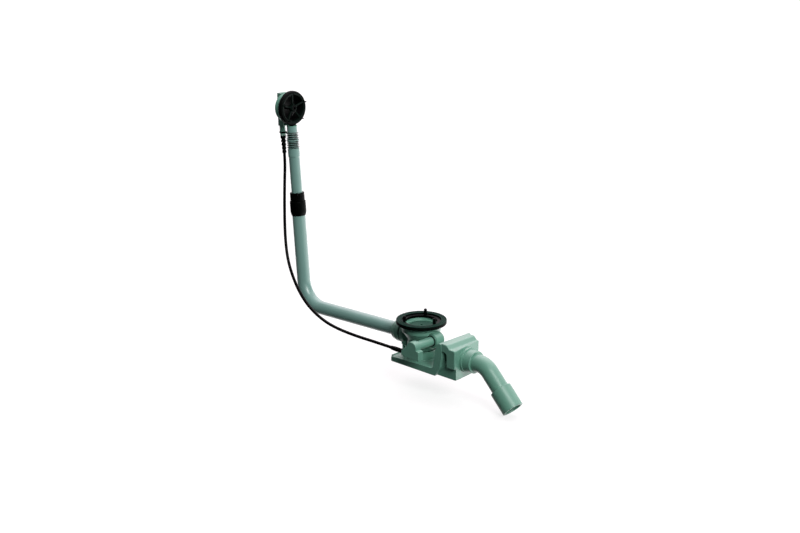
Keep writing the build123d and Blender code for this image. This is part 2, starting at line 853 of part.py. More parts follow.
# Overflow housing: flange and bowl about the head's axis, and a flat duct down to the spigot
bowl_back = head_front - head_flange_thickness - bowl_depth
duct_shoulder = -duct_drop
spigot_end = duct_shoulder - spigot_length
duct_top = -bowl_radius + 8
duct_reach = 3 * flex_neck_radius
with BuildPart() as overflow_housing:
    with BuildSketch(head_section):
        with BuildLine():
            FilletPolyline(
                (bowl_back, 0),
                (bowl_back, bowl_radius),
                (head_front - head_flange_thickness, bowl_radius),
                (head_front - head_flange_thickness, head_flange_radius),
                (head_front, head_flange_radius),
                (head_front, 0),
                radius=[0, 5, 1, 0.6, 0.6, 0],
                close=True,
            )
        make_face()
    revolve(axis=head_axis)
    with BuildSketch(head_level(duct_shoulder + 2)):
        Circle(flex_neck_radius)
        with Locations((head_front + duct_reach / 2, 0)):
            Rectangle(duct_reach, duct_reach, mode=Mode.SUBTRACT)
    extrude(amount=duct_top - duct_shoulder - 2)
    with BuildSketch(head_level(duct_shoulder)):
        Circle(flex_neck_radius)
    extrude(amount=2)
    with BuildSketch(head_level(spigot_end)):
        Circle(spigot_radius)
    extrude(amount=spigot_length)
    with BuildSketch(head_section):
        with BuildLine():
            FilletPolyline(
                (bowl_back + bowl_wall, 0),
                (bowl_back + bowl_wall, bowl_radius - bowl_wall),
                (head_front + 1, bowl_radius - bowl_wall),
                (head_front + 1, 0),
                radius=[0, 3, 0, 0],
                close=True,
            )
        make_face()
    revolve(axis=head_axis, mode=Mode.SUBTRACT)
    with BuildSketch(head_level(spigot_end)):
        Circle(spigot_radius - 1.6)
    extrude(amount=spigot_length + 0.5, mode=Mode.SUBTRACT)
    with BuildSketch(head_level(duct_shoulder + 0.5)):
        Circle(spigot_radius - 1.6)
        with Locations((head_front - head_flange_thickness + duct_reach / 2, 0)):
            Rectangle(duct_reach, duct_reach, mode=Mode.SUBTRACT)
    extrude(amount=duct_top - duct_shoulder, mode=Mode.SUBTRACT)
    with BuildSketch(head_plane(bowl_back - 1)):
        Circle(drive_shaft_radius + run_gap)
    extrude(amount=bowl_wall + 2, mode=Mode.SUBTRACT)
overflow_housing.part.label = "overflow_housing"

# Rubber seal that the bath wall is clamped against
with BuildPart() as overflow_seal:
    with BuildSketch(head_section):
        with BuildLine():
            FilletPolyline(
                (head_front, head_seal_inner_radius),
                (head_front, head_seal_radius),
                (head_front + head_seal_depth * 0.5, head_seal_radius),
                (head_front + head_seal_depth, head_seal_nose_radius),
                (head_front + head_seal_depth, head_seal_inner_radius),
                radius=[0, 1, 2, 1, 0.4],
                close=True,
            )
        make_face()
    revolve(axis=head_axis)
overflow_seal.part.label = "overflow_seal"

# Star: ring, spokes that dip towards the hub, and a pin at each spoke's end
star_front = head_front + star_depth
hub_back = head_front + 1
with BuildPart() as overflow_star:
    with BuildSketch(head_section):
        with BuildLine():
            FilletPolyline(
                (head_front, star_inner_radius),
                (head_front, star_outer_radius),
                (star_front, star_outer_radius),
                (star_front - 2, star_inner_radius),
                radius=[0, 0, 1, 0.6],
                close=True,
            )
        make_face()
    revolve(axis=head_axis)
    for spoke in range(star_spokes):
        angle = pi / 2 + 2 * pi * spoke / star_spokes
        across = Vector(0, cos(angle), 0) + riser_dir * sin(angle)
        spoke_plane = Plane(origin=head_centre, x_dir=across, z_dir=across.cross(face_dir))
        with BuildSketch(spoke_plane):
            with BuildLine():
                Polyline(
                    (drive_radius + 1.5, star_front - 1.5),
                    (star_hub_radius + 5, star_front - 4.5),
                    (star_inner_radius + 1, star_front - 1.8),
                    (star_inner_radius + 1, star_front - 1.8 - star_spoke_depth),
                    (star_hub_radius + 5, star_front - 4.5 - star_spoke_depth),
                    (drive_radius + 1.5, star_front - 2 - star_spoke_depth),
                    close=True,
                )
            make_face()
        extrude(amount=star_spoke_width / 2, both=True)
    with BuildSketch(head_section):
        with BuildLine():
            FilletPolyline(
                (hub_back, drive_radius + run_gap),
                (hub_back, star_hub_radius - 1),
                (star_front - 3, star_hub_radius),
                (star_front + 0.5, star_hub_radius - 1.5),
                (star_front + 0.5, drive_radius + run_gap),
                radius=[0, 0.8, 1, 0.8, 0],
                close=True,
            )
        make_face()
    revolve(axis=head_axis)
    with BuildSketch(head_plane(star_front - 4)):
        with PolarLocations((star_inner_radius + star_outer_radius) / 2 + 0.6, star_spokes, start_angle=90):
            Circle(star_pin_radius)
    extrude(amount=4 + star_pin_length)
overflow_star.part.label = "overflow_star"

# Drive socket: square socket in front, shaft through the housing, crank disc and pin behind
crank_front = bowl_back - 2 * loose_gap
crank_back = crank_front - crank_disc_thickness
slider_front = -slider_offset + slider_thickness / 2
pin_end = -slider_offset - slider_thickness / 2
crank_turn = radians(45)
drive_front = star_front + 1
with BuildPart() as drive_socket:
    with BuildSketch(head_plane(hub_back)):
        Circle(drive_radius)
    extrude(amount=drive_front - hub_back)
    chamfer(drive_socket.faces().sort_by(head_axis)[-1].edges(), length=0.6)
    with BuildSketch(head_plane(crank_front)):
        Circle(drive_shaft_radius)
    extrude(amount=hub_back - crank_front)
    with BuildSketch(head_plane(crank_back)):
        Circle(crank_disc_radius)
    extrude(amount=crank_disc_thickness)
    with BuildSketch(head_plane(pin_end)):
        with Locations((crank_radius * cos(crank_turn), -crank_radius * sin(crank_turn))):
            Circle(crank_pin_radius)
    extrude(amount=crank_back - pin_end)
    with BuildSketch(head_plane(drive_front - drive_socket_depth)):
        Rectangle(drive_square, drive_square)
    extrude(amount=drive_socket_depth, mode=Mode.SUBTRACT)
drive_socket.part.label = "drive_socket"

# Slider that the crank pin lifts, with the rod that holds the wire
pin_height = -crank_radius * sin(crank_turn)
slot_from = crank_radius * cos(crank_turn)
slot_to = crank_radius
slider_lift = 2 * crank_radius * sin(crank_turn)
with BuildPart() as wire_slider:
    with BuildSketch(head_plane(pin_end)):
        with Locations((0, (slider_top - slider_bottom) / 2)):
            Rectangle(slider_width, slider_top + slider_bottom)
        with Locations(((slot_from + slot_to) / 2, pin_height)):
            SlotCenterToCenter(
                slot_to - slot_from + 0.4, 2 * (crank_pin_radius + loose_gap), mode=Mode.SUBTRACT
            )
    extrude(amount=slider_thickness)
    fillet(wire_slider.edges().filter_by(head_axis).group_by(riser_axis)[-1], radius=2)
    foot_back = neck_offset + slider_rod_radius - run_gap
    foot_depth = foot_back + slider_front
    with BuildSketch(head_level(-slider_bottom - slider_foot_height, -foot_back + foot_depth / 2)):
        Rectangle(foot_depth, slider_foot_width)
    extrude(amount=slider_foot_height)
    with BuildSketch(head_level(-slider_bottom - slider_rod_length, -neck_offset)):
        Circle(slider_rod_radius)
    extrude(amount=slider_rod_length)
wire_slider.part.label = "wire_slider"

# Upper end of the inner wire
rod_end = -slider_bottom - slider_rod_length
boot_top = -neck_bottom - collar_height
boot_foot = boot_top - upper_boot_length
sheath_top = boot_foot + upper_boot_grip
with BuildPart() as upper_wire_end:
    with BuildSketch(head_level(sheath_top + 0.5, -neck_offset)):
        Circle(wire_radius)
    extrude(amount=rod_end - sheath_top - 0.5)
upper_wire_end.part.label = "upper_wire_end"

# Actuator case: a slim tapered tray with a round boss over the crank and a neck for the cable
case_rim = bowl_back
tray_back = case_rim - actuator_depth
tray_back_top = tray_back + actuator_taper
with BuildPart() as actuator_case:
    with BuildSketch(head_section):
        with BuildLine():
            Polyline(
                (case_rim, -actuator_bottom),
                (case_rim, actuator_top),
                (tray_back_top, actuator_top),
                (tray_back, -actuator_bottom),
                close=True,
            )
        make_face()
    extrude(amount=actuator_half_width, both=True)
    back_edges = actuator_case.faces().sort_by(head_axis)[0].edges()
    fillet(back_edges, radius=actuator_round)
    with BuildSketch(head_plane(tray_back_top - actuator_boss_depth)):
        Circle(actuator_boss_radius)
    extrude(amount=case_rim - tray_back_top + actuator_boss_depth)
    with BuildSketch(head_level(-neck_bottom, -neck_offset)):
        Circle(neck_outer_radius)
    extrude(amount=neck_bottom - actuator_bottom + 1)
    with BuildSketch(head_section):
        with BuildLine():
            Polyline(
                (case_rim + 1, -actuator_bottom + actuator_wall),
                (case_rim + 1, actuator_top - actuator_wall),
                (tray_back_top + actuator_wall, actuator_top - actuator_wall),
                (tray_back + actuator_wall, -actuator_bottom + actuator_wall),
                close=True,
            )
        make_face()
    extrude(amount=actuator_half_width - actuator_wall, both=True, mode=Mode.SUBTRACT)
    with BuildSketch(head_plane(tray_back_top + actuator_wall)):
        Circle(actuator_boss_radius - actuator_wall)
    extrude(amount=actuator_depth, mode=Mode.SUBTRACT)
    with BuildSketch(head_level(-neck_bottom, -neck_offset)):
        Circle(wire_bore_radius)
    extrude(amount=neck_bottom - actuator_bottom + actuator_wall + 1, mode=Mode.SUBTRACT)
actuator_case.part.label = "actuator_case"

# Strap round the neck that reaches to the riser
strap_level = -strap_drop
riser_gap = neck_offset - bellows_crest_radius - push_gap
with BuildPart() as retaining_strap:
    with BuildSketch(head_level(strap_level, -neck_offset)):
        Circle(neck_outer_radius + push_gap + strap_thickness)
        with Locations((riser_gap / 2 + 2, 0)):
            Rectangle(riser_gap - 4, 2 * strap_bead_radius)
        with Locations((-neck_outer_radius - strap_bead_radius, 0)):
            Circle(strap_bead_radius)
        Circle(neck_outer_radius + push_gap, mode=Mode.SUBTRACT)
    extrude(amount=strap_height)
    with BuildSketch(head_level(strap_level)):
        Circle(bellows_crest_radius + push_gap)
    extrude(amount=strap_height, mode=Mode.SUBTRACT)
retaining_strap.part.label = "retaining_strap"

with BuildPart() as cable_collar:
    with BuildSketch(head_level(boot_top, -neck_offset)):
        Circle(collar_radius)
        Circle(wire_bore_radius, mode=Mode.SUBTRACT)
    extrude(amount=collar_height)
    fillet(cable_collar.edges().filter_by(GeomType.CIRCLE).sort_by(SortBy.RADIUS)[-2:], radius=0.8)
cable_collar.part.label = "cable_collar"

# Upper boot: ribs that shrink downwards, made as one stepped profile
boot_section = Plane(origin=head_centre - face_dir * neck_offset, x_dir=face_dir, z_dir=side)
boot_axis = Axis(head_centre - face_dir * neck_offset, riser_dir)
rib_pitch = (upper_boot_length - 8) / upper_boot_ribs
boot_wall = [(upper_boot_radius, boot_top), (upper_boot_radius, boot_top - 6)]
for rib in range(upper_boot_ribs):
    rib_top = boot_top - 6 - rib * rib_pitch
    rib_radius = upper_boot_radius + (upper_boot_tip_radius - upper_boot_radius) * (rib + 1) / upper_boot_ribs
    groove = rib_radius - rib_groove_top + (rib_groove_top - rib_groove_tip) * (rib + 1) / upper_boot_ribs
    boot_wall += [(groove, rib_top - 0.5), (groove, rib_top - 0.45 * rib_pitch)]
    boot_wall += [(rib_radius, rib_top - 0.5 * rib_pitch), (rib_radius, rib_top - 0.95 * rib_pitch)]
with BuildPart() as upper_cable_boot:
    with BuildSketch(boot_section):
        with BuildLine():
            Polyline(
                *boot_wall,
                (upper_boot_tip_radius - 0.6, boot_foot),
                (sheath_radius + push_gap, boot_foot),
                (sheath_radius + push_gap, sheath_top),
                (wire_bore_radius, sheath_top),
                (wire_bore_radius, boot_top),
                close=True,
            )
        make_face()
    revolve(axis=boot_axis)
upper_cable_boot.part.label = "upper_cable_boot"

# Bowden sheath, from boot to boot: points of its route, chosen by hand
sheath_start = head_centre - face_dir * neck_offset + riser_dir * sheath_top
sheath_route = [
    sheath_start,
    head_centre - face_dir * neck_offset + riser_dir * (boot_foot - 20),
    Vector(-440.5, -8, 243.5),
    Vector(-435, -15, 192),
    Vector(-428, -22, 140),
    Vector(-418.5, -29, 98),
    Vector(-402, -38, 60),
    Vector(-378, -46, 26.7),
    Vector(-345, -54.5, -5),
    Vector(-305, -61, -31),
    Vector(-254, -66.5, -48.5),
    Vector(-202, -71, -55),
    Vector(-136, -74, -56),
    Vector(-69, -cable_plane, cable_level),
    Vector(sheath_end_x, -cable_plane, cable_level),
]


def tangent_radii(points, share=0.45):
    """Radius at each corner: a share of the shorter run over the tangent of half the turn."""
    radii = []
    for before, corner, after in zip(points, points[1:], points[2:]):
        run_in = corner - before
        run_out = after - corner
        half_turn = radians(run_in.get_angle(run_out)) / 2
        radii.append(share * min(run_in.length, run_out.length) / tan(half_turn))
    return radii


sheath_radii = tangent_radii(sheath_route)
with BuildPart() as bowden_sheath:
    with BuildLine() as sheath_line:
        FilletPolyline(*sheath_route, radius=sheath_radii)
    with BuildSketch(Plane(origin=sheath_line.line @ 0, z_dir=sheath_line.line % 0)):
        Circle(sheath_radius)
    sweep(path=sheath_line.line)
bowden_sheath.part.label = "bowden_sheath"
print("sheath radii", [round(r) for r in sheath_radii])
print("sheath runs", [round((b - a).length) for a, b in zip(sheath_route, sheath_route[1:])])
sheath_length = sum(edge.length for edge in sheath_line.edges())
sheath_share = bowden_sheath.part.volume / (pi * sheath_radius**2 * sheath_length)
print("sheath length", round(sheath_length, 1), "volume over section times length", round(sheath_share, 4))

# Trap body: pan, rising channel and hump in one outline drawn along the bath
pan_wall_left = pan_left + pan_inset
plate_slope = (pan_top_right - pan_top_left) / (hump_left - pan_left)
trap_outline = [
    (pan_wall_left, trap_floor),
    (hump_right, trap_floor),
    (hump_right, hump_shoulder),
    (hump_shoulder_left, hump_shoulder),
    (hump_shoulder_left - 9, hump_top),
    (hump_left + 9, hump_top),
    (hump_left + 1, hump_top - hump_crown),
    (hump_left - 5, pan_top_right),
    (pan_left, pan_top_left),
    (pan_left, pan_top_left - pan_rim_drop),
    (pan_wall_left - 1, pan_top_left - pan_rim_drop - 1),
]
trap_radii = [2, 2, 3, 5, 7, 9, 12, 9, 1, 0.8, 1]
cavity_outline = [
    (pan_wall_left + trap_wall, trap_floor + trap_wall),
    (weir_left, trap_floor + trap_wall),
    (weir_left, weir_height),
    (weir_right, weir_height),
    (weir_right, chamber_floor),
    (hump_right_back - trap_wall, chamber_floor),
    (hump_right_back - trap_wall, hump_shoulder - trap_wall - 3),
    (hump_shoulder_left - 4, hump_shoulder - trap_wall),
    (hump_shoulder_left - 12, hump_top - trap_wall),
    (hump_left + 11, hump_top - trap_wall),
    (hump_left + 4, hump_top - hump_crown - 2),
    (hump_left - 1, pan_top_right - 4),
    (pan_wall_left + trap_wall, pan_top_left - 3),
]
cavity_radii = [1, 4, 5, 4, 3, 3, 2, 3, 4, 7, 8, 6, 1]
band_right = hump_left + channel_width + 2
band_outline = [
    (pan_wall_left, trap_floor),
    (hump_left + 1, trap_floor),
    (hump_left + band_flare, trap_floor + band_knee),
    (band_right, hump_top - band_waist),
    (band_right, hump_top - band_top_drop),
    (hump_left + channel_width, hump_top),
    (hump_left + 9, hump_top),
    (hump_left + 1, hump_top - hump_crown),
    (hump_left - 5, pan_top_right),
    (pan_left + pan_inset, pan_top_left + plate_slope * pan_inset),
]
band_radii = [2, 1, 20, 20, 4, 3, 9, 12, 9, 1]
with BuildPart() as trap_body:
    with BuildSketch(Plane.XZ.offset(-trap_front)):
        with BuildLine():
            FilletPolyline(*trap_outline, radius=trap_radii, close=True)
        make_face()
    extrude(amount=-(trap_back - trap_front))
    for band_face, band_depth in ((-trap_front + trap_band, trap_band), (-trap_back, trap_back_band)):
        with BuildSketch(Plane.XZ.offset(band_face)):
            with BuildLine():
                FilletPolyline(*band_outline, radius=band_radii, close=True)
            make_face()
        extrude(amount=-band_depth)
    # Sunken deck of the pan, with a rim left round it
    deck_left = pan_left + deck_rim
    with BuildSketch(Plane.XZ.offset(-trap_front - deck_rim)):
        with BuildLine():
            Polyline(
                (deck_left, pan_top_left + plate_slope * deck_rim - deck_depth),
                (deck_right, pan_top_left + plate_slope * (deck_right - pan_left) - deck_depth),
                (deck_right, pan_top_right),
                (deck_left, pan_top_right),
                close=True,
            )
        make_face()
    extrude(amount=-(trap_back - trap_front - 2 * deck_rim), mode=Mode.SUBTRACT)
    # Draft of the right side, towards the back
    with BuildSketch(Plane.XY.offset(trap_floor - 1)):
        with BuildLine():
            Polyline(
                (hump_right, trap_front),
                (hump_right_back, trap_back),
                (hump_right_back, trap_back + 1),
                (hump_right + 1, trap_back + 1),
                (hump_right + 1, trap_front),
                close=True,
            )
        make_face()
    extrude(amount=hump_shoulder - trap_floor + 2, mode=Mode.SUBTRACT)
    # Collar for the tail of the waste body, and its bore
    with BuildSketch(Plane.XY.offset(pan_top_left - 1)):
        Circle(collar_outer_radius)
    extrude(amount=collar_top - pan_top_left + 1)
    # Outlet collar with its base
    with BuildSketch(Plane.YZ.offset(hump_right_back - trap_wall)):
        with Locations((0, outlet_level)):
            Circle(outlet_collar_radius)
    extrude(amount=outlet_start - hump_right_back + trap_wall)
    mouth_edge = trap_body.faces().sort_by(Axis.X)[-1].edges()
    fillet(mouth_edge, radius=1)
    with BuildSketch(Plane.YZ.offset(hump_right_back - trap_wall)):
        with Locations((0, outlet_level)):
            Circle(outlet_base_radius)
    extrude(amount=hump_right - hump_right_back + trap_wall + outlet_base_length)
    # Waterway inside
    with BuildSketch(Plane.XZ.offset(-trap_front - trap_wall)):
        with BuildLine():
            FilletPolyline(*cavity_outline, radius=cavity_radii, close=True)
        make_face()
    extrude(amount=-(trap_back - trap_front - 2 * trap_wall), mode=Mode.SUBTRACT)
    with BuildSketch(Plane.XY.offset(trap_floor + trap_wall + 1)):
        Circle(tail_radius + push_gap)
    extrude(amount=collar_top - trap_floor, mode=Mode.SUBTRACT)
    with BuildSketch(Plane.XY.offset(collar_top - trap_seal_height)):
        Circle(tail_radius + push_gap + trap_seal_width)
    extrude(amount=trap_seal_height, mode=Mode.SUBTRACT)
    # Outlet bore with a wider seat for the lip seal
    with BuildSketch(Plane.YZ.offset(weir_right + 1)):
        with Locations((0, outlet_level)):
            Circle(outlet_pipe_radius - outlet_pipe_wall)
    extrude(amount=outlet_insert - weir_right, mode=Mode.SUBTRACT)
    with BuildSketch(Plane.YZ.offset(outlet_insert - 1)):
        with Locations((0, outlet_level)):
            Circle(outlet_pipe_radius + run_gap)
    extrude(amount=outlet_start - outlet_insert + 2, mode=Mode.SUBTRACT)
    with BuildSketch(Plane.YZ.offset(outlet_start - 3 - outlet_seal_length)):
        with Locations((0, outlet_level)):
            Circle(outlet_seal_radius)
    extrude(amount=outlet_seal_length, mode=Mode.SUBTRACT)
    # Hollow foot under the outlet chamber, and the slot that forms the weir
    foot_left = weir_left + trap_wall
    foot_right = hump_right_back - trap_wall
    with BuildSketch(Plane.XY.offset(trap_floor)):
        with Locations(((foot_left + foot_right) / 2, (trap_front + trap_back) / 2)):
            Rectangle(foot_right - foot_left, trap_back - trap_front - 2 * trap_wall)
    extrude(amount=chamber_floor - trap_floor - trap_wall, mode=Mode.SUBTRACT)
    slot_middle = (weir_left + weir_right) / 2
    with BuildSketch(Plane.XZ.offset(-trap_front)):
        with Locations((slot_middle, (slot_top + slot_bottom) / 2)):
            SlotOverall(slot_top - slot_bottom, slot_width, rotation=90)
    extrude(amount=-slot_depth, mode=Mode.SUBTRACT)
trap_body.part.label = "trap_body"

# Side cover: a raised panel with a bevelled rim, arched over the groove beside the band
cover_left = band_right + loose_gap
cover_points = [
    (groove_right, cover_bottom),
    (hump_right + cover_proud, cover_bottom),
    (hump_right + cover_proud, hump_shoulder + cover_lip),
    (hump_shoulder_left + 1, hump_shoulder + cover_lip),
    (hump_shoulder_left - 8, hump_top + cover_lip),
    (cover_left, hump_top + cover_lip),
    (cover_left, arch_top),
    (groove_right, arch_top),
]
cover_radii = [2, 2, 3, 5, 7, 0, 0, arch_radius]
with BuildPart() as trap_side_cover:
    with BuildSketch(Plane.XZ.offset(-trap_front + cover_thickness)):
        with BuildLine():
            FilletPolyline(*cover_points, radius=cover_radii, close=True)
        make_face()
    extrude(amount=-cover_thickness)
    cover_rim = trap_side_cover.faces().sort_by(Axis.Y)[0].edges()
    outer_rim = cover_rim.filter_by(lambda edge: edge.center().X > groove_right or edge.center().Z > hump_top)
    chamfer(outer_rim, length=cover_bevel)
    with BuildSketch(Plane.XZ.offset(-trap_front + cover_thickness - cover_wall)):
        with BuildLine():
            FilletPolyline(*cover_points, radius=cover_radii, close=True)
        make_face()
        offset(amount=-cover_wall)
    extrude(amount=-(cover_thickness - cover_wall), mode=Mode.SUBTRACT)
trap_side_cover.part.label = "trap_side_cover"

# Ring between the tail and the collar
with BuildPart() as trap_seal:
    with BuildSketch(Plane.XY.offset(collar_top - trap_seal_height)):
        Circle(tail_radius + trap_seal_width)
        Circle(tail_radius + push_gap, mode=Mode.SUBTRACT)
    extrude(amount=trap_seal_height)
trap_seal.part.label = "trap_seal"

with BuildPart() as outlet_lip_seal:
    with BuildSketch(Plane.YZ.offset(outlet_start - 3 - outlet_seal_length)):
        with Locations((0, outlet_level)):
            Circle(outlet_seal_radius - push_gap)
            Circle(outlet_pipe_radius + run_gap, mode=Mode.SUBTRACT)
    extrude(amount=outlet_seal_length)
outlet_lip_seal.part.label = "outlet_lip_seal"

# Outlet bend and the sleeve on its end
turn = radians(outlet_turn)
outlet_dir = Vector(cos(turn), 0, -sin(turn))
outlet_knee = Vector(outlet_corner, 0, outlet_level)
sleeve_end = outlet_knee + outlet_dir * outlet_reach
with BuildPart() as outlet_bend:
    with BuildLine() as outlet_route:
        FilletPolyline(
            (outlet_insert, 0, outlet_level),
            outlet_knee,
            sleeve_end - outlet_dir * sleeve_rest,
            radius=[outlet_bend_radius],
        )
    with BuildSketch(Plane(origin=outlet_route.line @ 0, z_dir=outlet_route.line % 0)):
        Circle(outlet_pipe_radius)
        Circle(outlet_pipe_radius - outlet_pipe_wall, mode=Mode.SUBTRACT)
    sweep(path=outlet_route.line)
outlet_bend.part.label = "outlet_bend"

sleeve_section = Plane(origin=sleeve_end, x_dir=-outlet_dir, z_dir=side)
sleeve_axis = Axis(sleeve_end, outlet_dir)
with BuildPart() as outlet_sleeve:
    with BuildSketch(sleeve_section):
        with BuildLine():
            FilletPolyline(
                (0, outlet_pipe_radius - outlet_pipe_wall + 1),
                (0, sleeve_radius),
                (sleeve_length, sleeve_radius),
                (sleeve_length, outlet_pipe_radius + push_gap),
                (sleeve_rest - push_gap, outlet_pipe_radius + push_gap),
                (sleeve_rest - push_gap, outlet_pipe_radius - outlet_pipe_wall + 1),
                radius=[0.8, sleeve_edge, sleeve_edge, 0.8, 0, 0],
                close=True,
            )
        make_face()
    revolve(axis=sleeve_axis)
outlet_sleeve.part.label = "outlet_sleeve"

# Values of the joints
arm_length = hypot(shaft_offset, tip_level + shaft_drop)
rise = degrees(asin((plate_lift + tip_level + shaft_drop) / arm_length))
rest = degrees(asin((tip_level + shaft_drop) / arm_length))
print("shaft turn", rise - rest, "wire travel", lever_arm * tan(radians(rise - rest)), "slider", slider_lift)
print("foot", tuple(riser_foot), "head", tuple(head_centre), "sleeve end", tuple(sleeve_end))

for piece in (
    waste_seal_ring,
    centring_ring,
    waste_body,
    guide_star,
    lift_plate,
    lift_shaft,
    shaft_o_ring,
    lever_case,
    lever_case_cover,
    lever,
    lower_wire_end,
    lower_cable_boot,
    inlet_seal,
    inlet_nut,
    overflow_bend_pipe,
    union_body,
    union_seal,
    union_nut,
    overflow_flex_pipe,
    overflow_housing,
    overflow_seal,
    overflow_star,
    drive_socket,
    wire_slider,
    upper_wire_end,
    actuator_case,
    retaining_strap,
    cable_collar,
    upper_cable_boot,
    bowden_sheath,
    trap_body,
    trap_side_cover,
    trap_seal,
    outlet_lip_seal,
    outlet_bend,
    outlet_sleeve,
):
    export_step(piece.part, f"parts/{piece.part.label}.step")
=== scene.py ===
import json  # noqa: E402
import math  # noqa: E402

import bpy  # noqa: E402
import numpy as np  # noqa: E402
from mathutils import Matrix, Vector  # noqa: E402


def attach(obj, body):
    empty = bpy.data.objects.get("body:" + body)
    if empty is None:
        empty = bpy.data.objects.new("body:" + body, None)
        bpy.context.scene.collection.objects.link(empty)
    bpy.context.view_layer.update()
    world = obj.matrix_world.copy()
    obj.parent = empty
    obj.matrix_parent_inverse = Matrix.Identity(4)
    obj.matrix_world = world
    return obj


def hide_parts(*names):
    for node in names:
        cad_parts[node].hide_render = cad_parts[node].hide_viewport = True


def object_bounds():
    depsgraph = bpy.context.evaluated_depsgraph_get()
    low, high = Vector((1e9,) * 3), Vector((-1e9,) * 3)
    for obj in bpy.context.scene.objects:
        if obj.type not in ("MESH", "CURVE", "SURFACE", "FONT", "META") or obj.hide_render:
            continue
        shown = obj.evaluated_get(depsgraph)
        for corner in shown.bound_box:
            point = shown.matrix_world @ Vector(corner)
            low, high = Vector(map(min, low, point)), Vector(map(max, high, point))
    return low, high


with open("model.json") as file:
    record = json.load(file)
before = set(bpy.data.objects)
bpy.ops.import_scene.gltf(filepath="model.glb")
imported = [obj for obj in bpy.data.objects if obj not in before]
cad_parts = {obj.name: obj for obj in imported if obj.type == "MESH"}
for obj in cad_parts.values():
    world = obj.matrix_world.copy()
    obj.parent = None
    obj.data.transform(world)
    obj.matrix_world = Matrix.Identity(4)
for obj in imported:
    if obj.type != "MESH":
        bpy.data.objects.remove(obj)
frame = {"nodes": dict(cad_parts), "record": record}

bl_info = {
    "name": "Bath Waste and Overflow",
    "version": (1, 0, 0),
    "blender": (4, 5, 0),
    "location": "View3D > Sidebar > Bath Waste",
    "description": "Cable, boots, bellows, seals, finishes and studio for a bath waste and overflow",
    "category": "Object",
}

CAD_BOX = [list(corner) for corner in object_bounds()]
MM = 0.001
TAU = 2 * math.pi
X_AXIS, Y_AXIS, Z_AXIS = np.eye(3)
BLACK = (0.0, 0.0, 0.0, 1.0)
WHITE = (1.0, 1.0, 1.0, 1.0)

# The middles of the waste's seat and the overflow's head, and the riser's foot. The riser leans away
# from the bath, and the head is square to it
WASTE = np.zeros(3)
LEAN = math.radians(5.0)
RISER_UP = np.array([-math.sin(LEAN), 0.0, math.cos(LEAN)])
TO_BATH = np.array([math.cos(LEAN), 0.0, math.sin(LEAN)])
HEAD = np.array([-0.424573, 0.0, 0.420471])
RISER_FOOT = np.array([-0.383, 0.0, -0.054713])

# Where the cable's boots sit: on the case behind the head, and on the lever case
CABLE_BEHIND = 33.2 * MM
BOOT_AXIS = HEAD - TO_BATH * CABLE_BEHIND
LEVER_SEAT = np.array([0.016, -0.0745, -0.0544])

# A point on the axis of the lever case's tube
TUBE_AXIS = np.array([0.048, 0.0, -0.036])

# Bores of both boots in millimetres, as radii
SHEATH_BORE = 3.7
WIRE_BORE = 1.4

# The upper pipe in millimetres up the riser: four close folds, a plain band and three wide folds,
# then its radius below the folds and at their crests
PIPE_FOOT, PIPE_TOP = 190.0, 433.0
FOLDS_START, FOLDS_END = 380.2, 419.4
CLOSE_FOLDS = {"start": 381.0, "pitch": 4.3, "count": 4, "sharpness": 2.0}
WIDE_FOLDS = {"start": 402.7, "pitch": 5.4, "count": 3, "sharpness": 2.0}
BAND_MIDDLE, BAND_HALF = 400.4, 1.9
LIP_START = 360.5
PIPE_RADIUS, FOLD_CREST = 13.0, 14.8

# Inner walls of the overflow's bowl and of the duct under it, as radii, and how far each goes,
# which is also how far the painted shade inside them reaches
BOWL_WALL, BOWL_DEPTH = 32.0 * MM, 18.5 * MM
DUCT_WALL, DUCT_TOP = 11.2 * MM, 460.0 * MM

# The camera's place, how far it looks down and how far it stands round from the front
CAMERA_PLACE = (2.7653, -2.9333, 1.4347)
CAMERA_DOWN = math.radians(18.0)
CAMERA_ROUND = math.radians(44.0)

# The sheath's route from the upper boot to the lower one
SHEATH_ROUTE = [
    (-0.449934, 0.0, 0.329415),
    (-0.446273, 0.0, 0.287575),
    (-0.4405, -0.008, 0.2435),
    (-0.435, -0.015, 0.192),
    (-0.428, -0.022, 0.140),
    (-0.4185, -0.029, 0.098),
    (-0.402, -0.038, 0.060),
    (-0.378, -0.046, 0.0267),
    (-0.345, -0.0545, -0.005),
    (-0.305, -0.061, -0.031),
    (-0.254, -0.0665, -0.0485),
    (-0.202, -0.071, -0.055),
    (-0.136, -0.074, -0.056),
    (-0.069, -0.0745, -0.0544),
    (-0.004, -0.0745, -0.0544),
]


# Surfaces


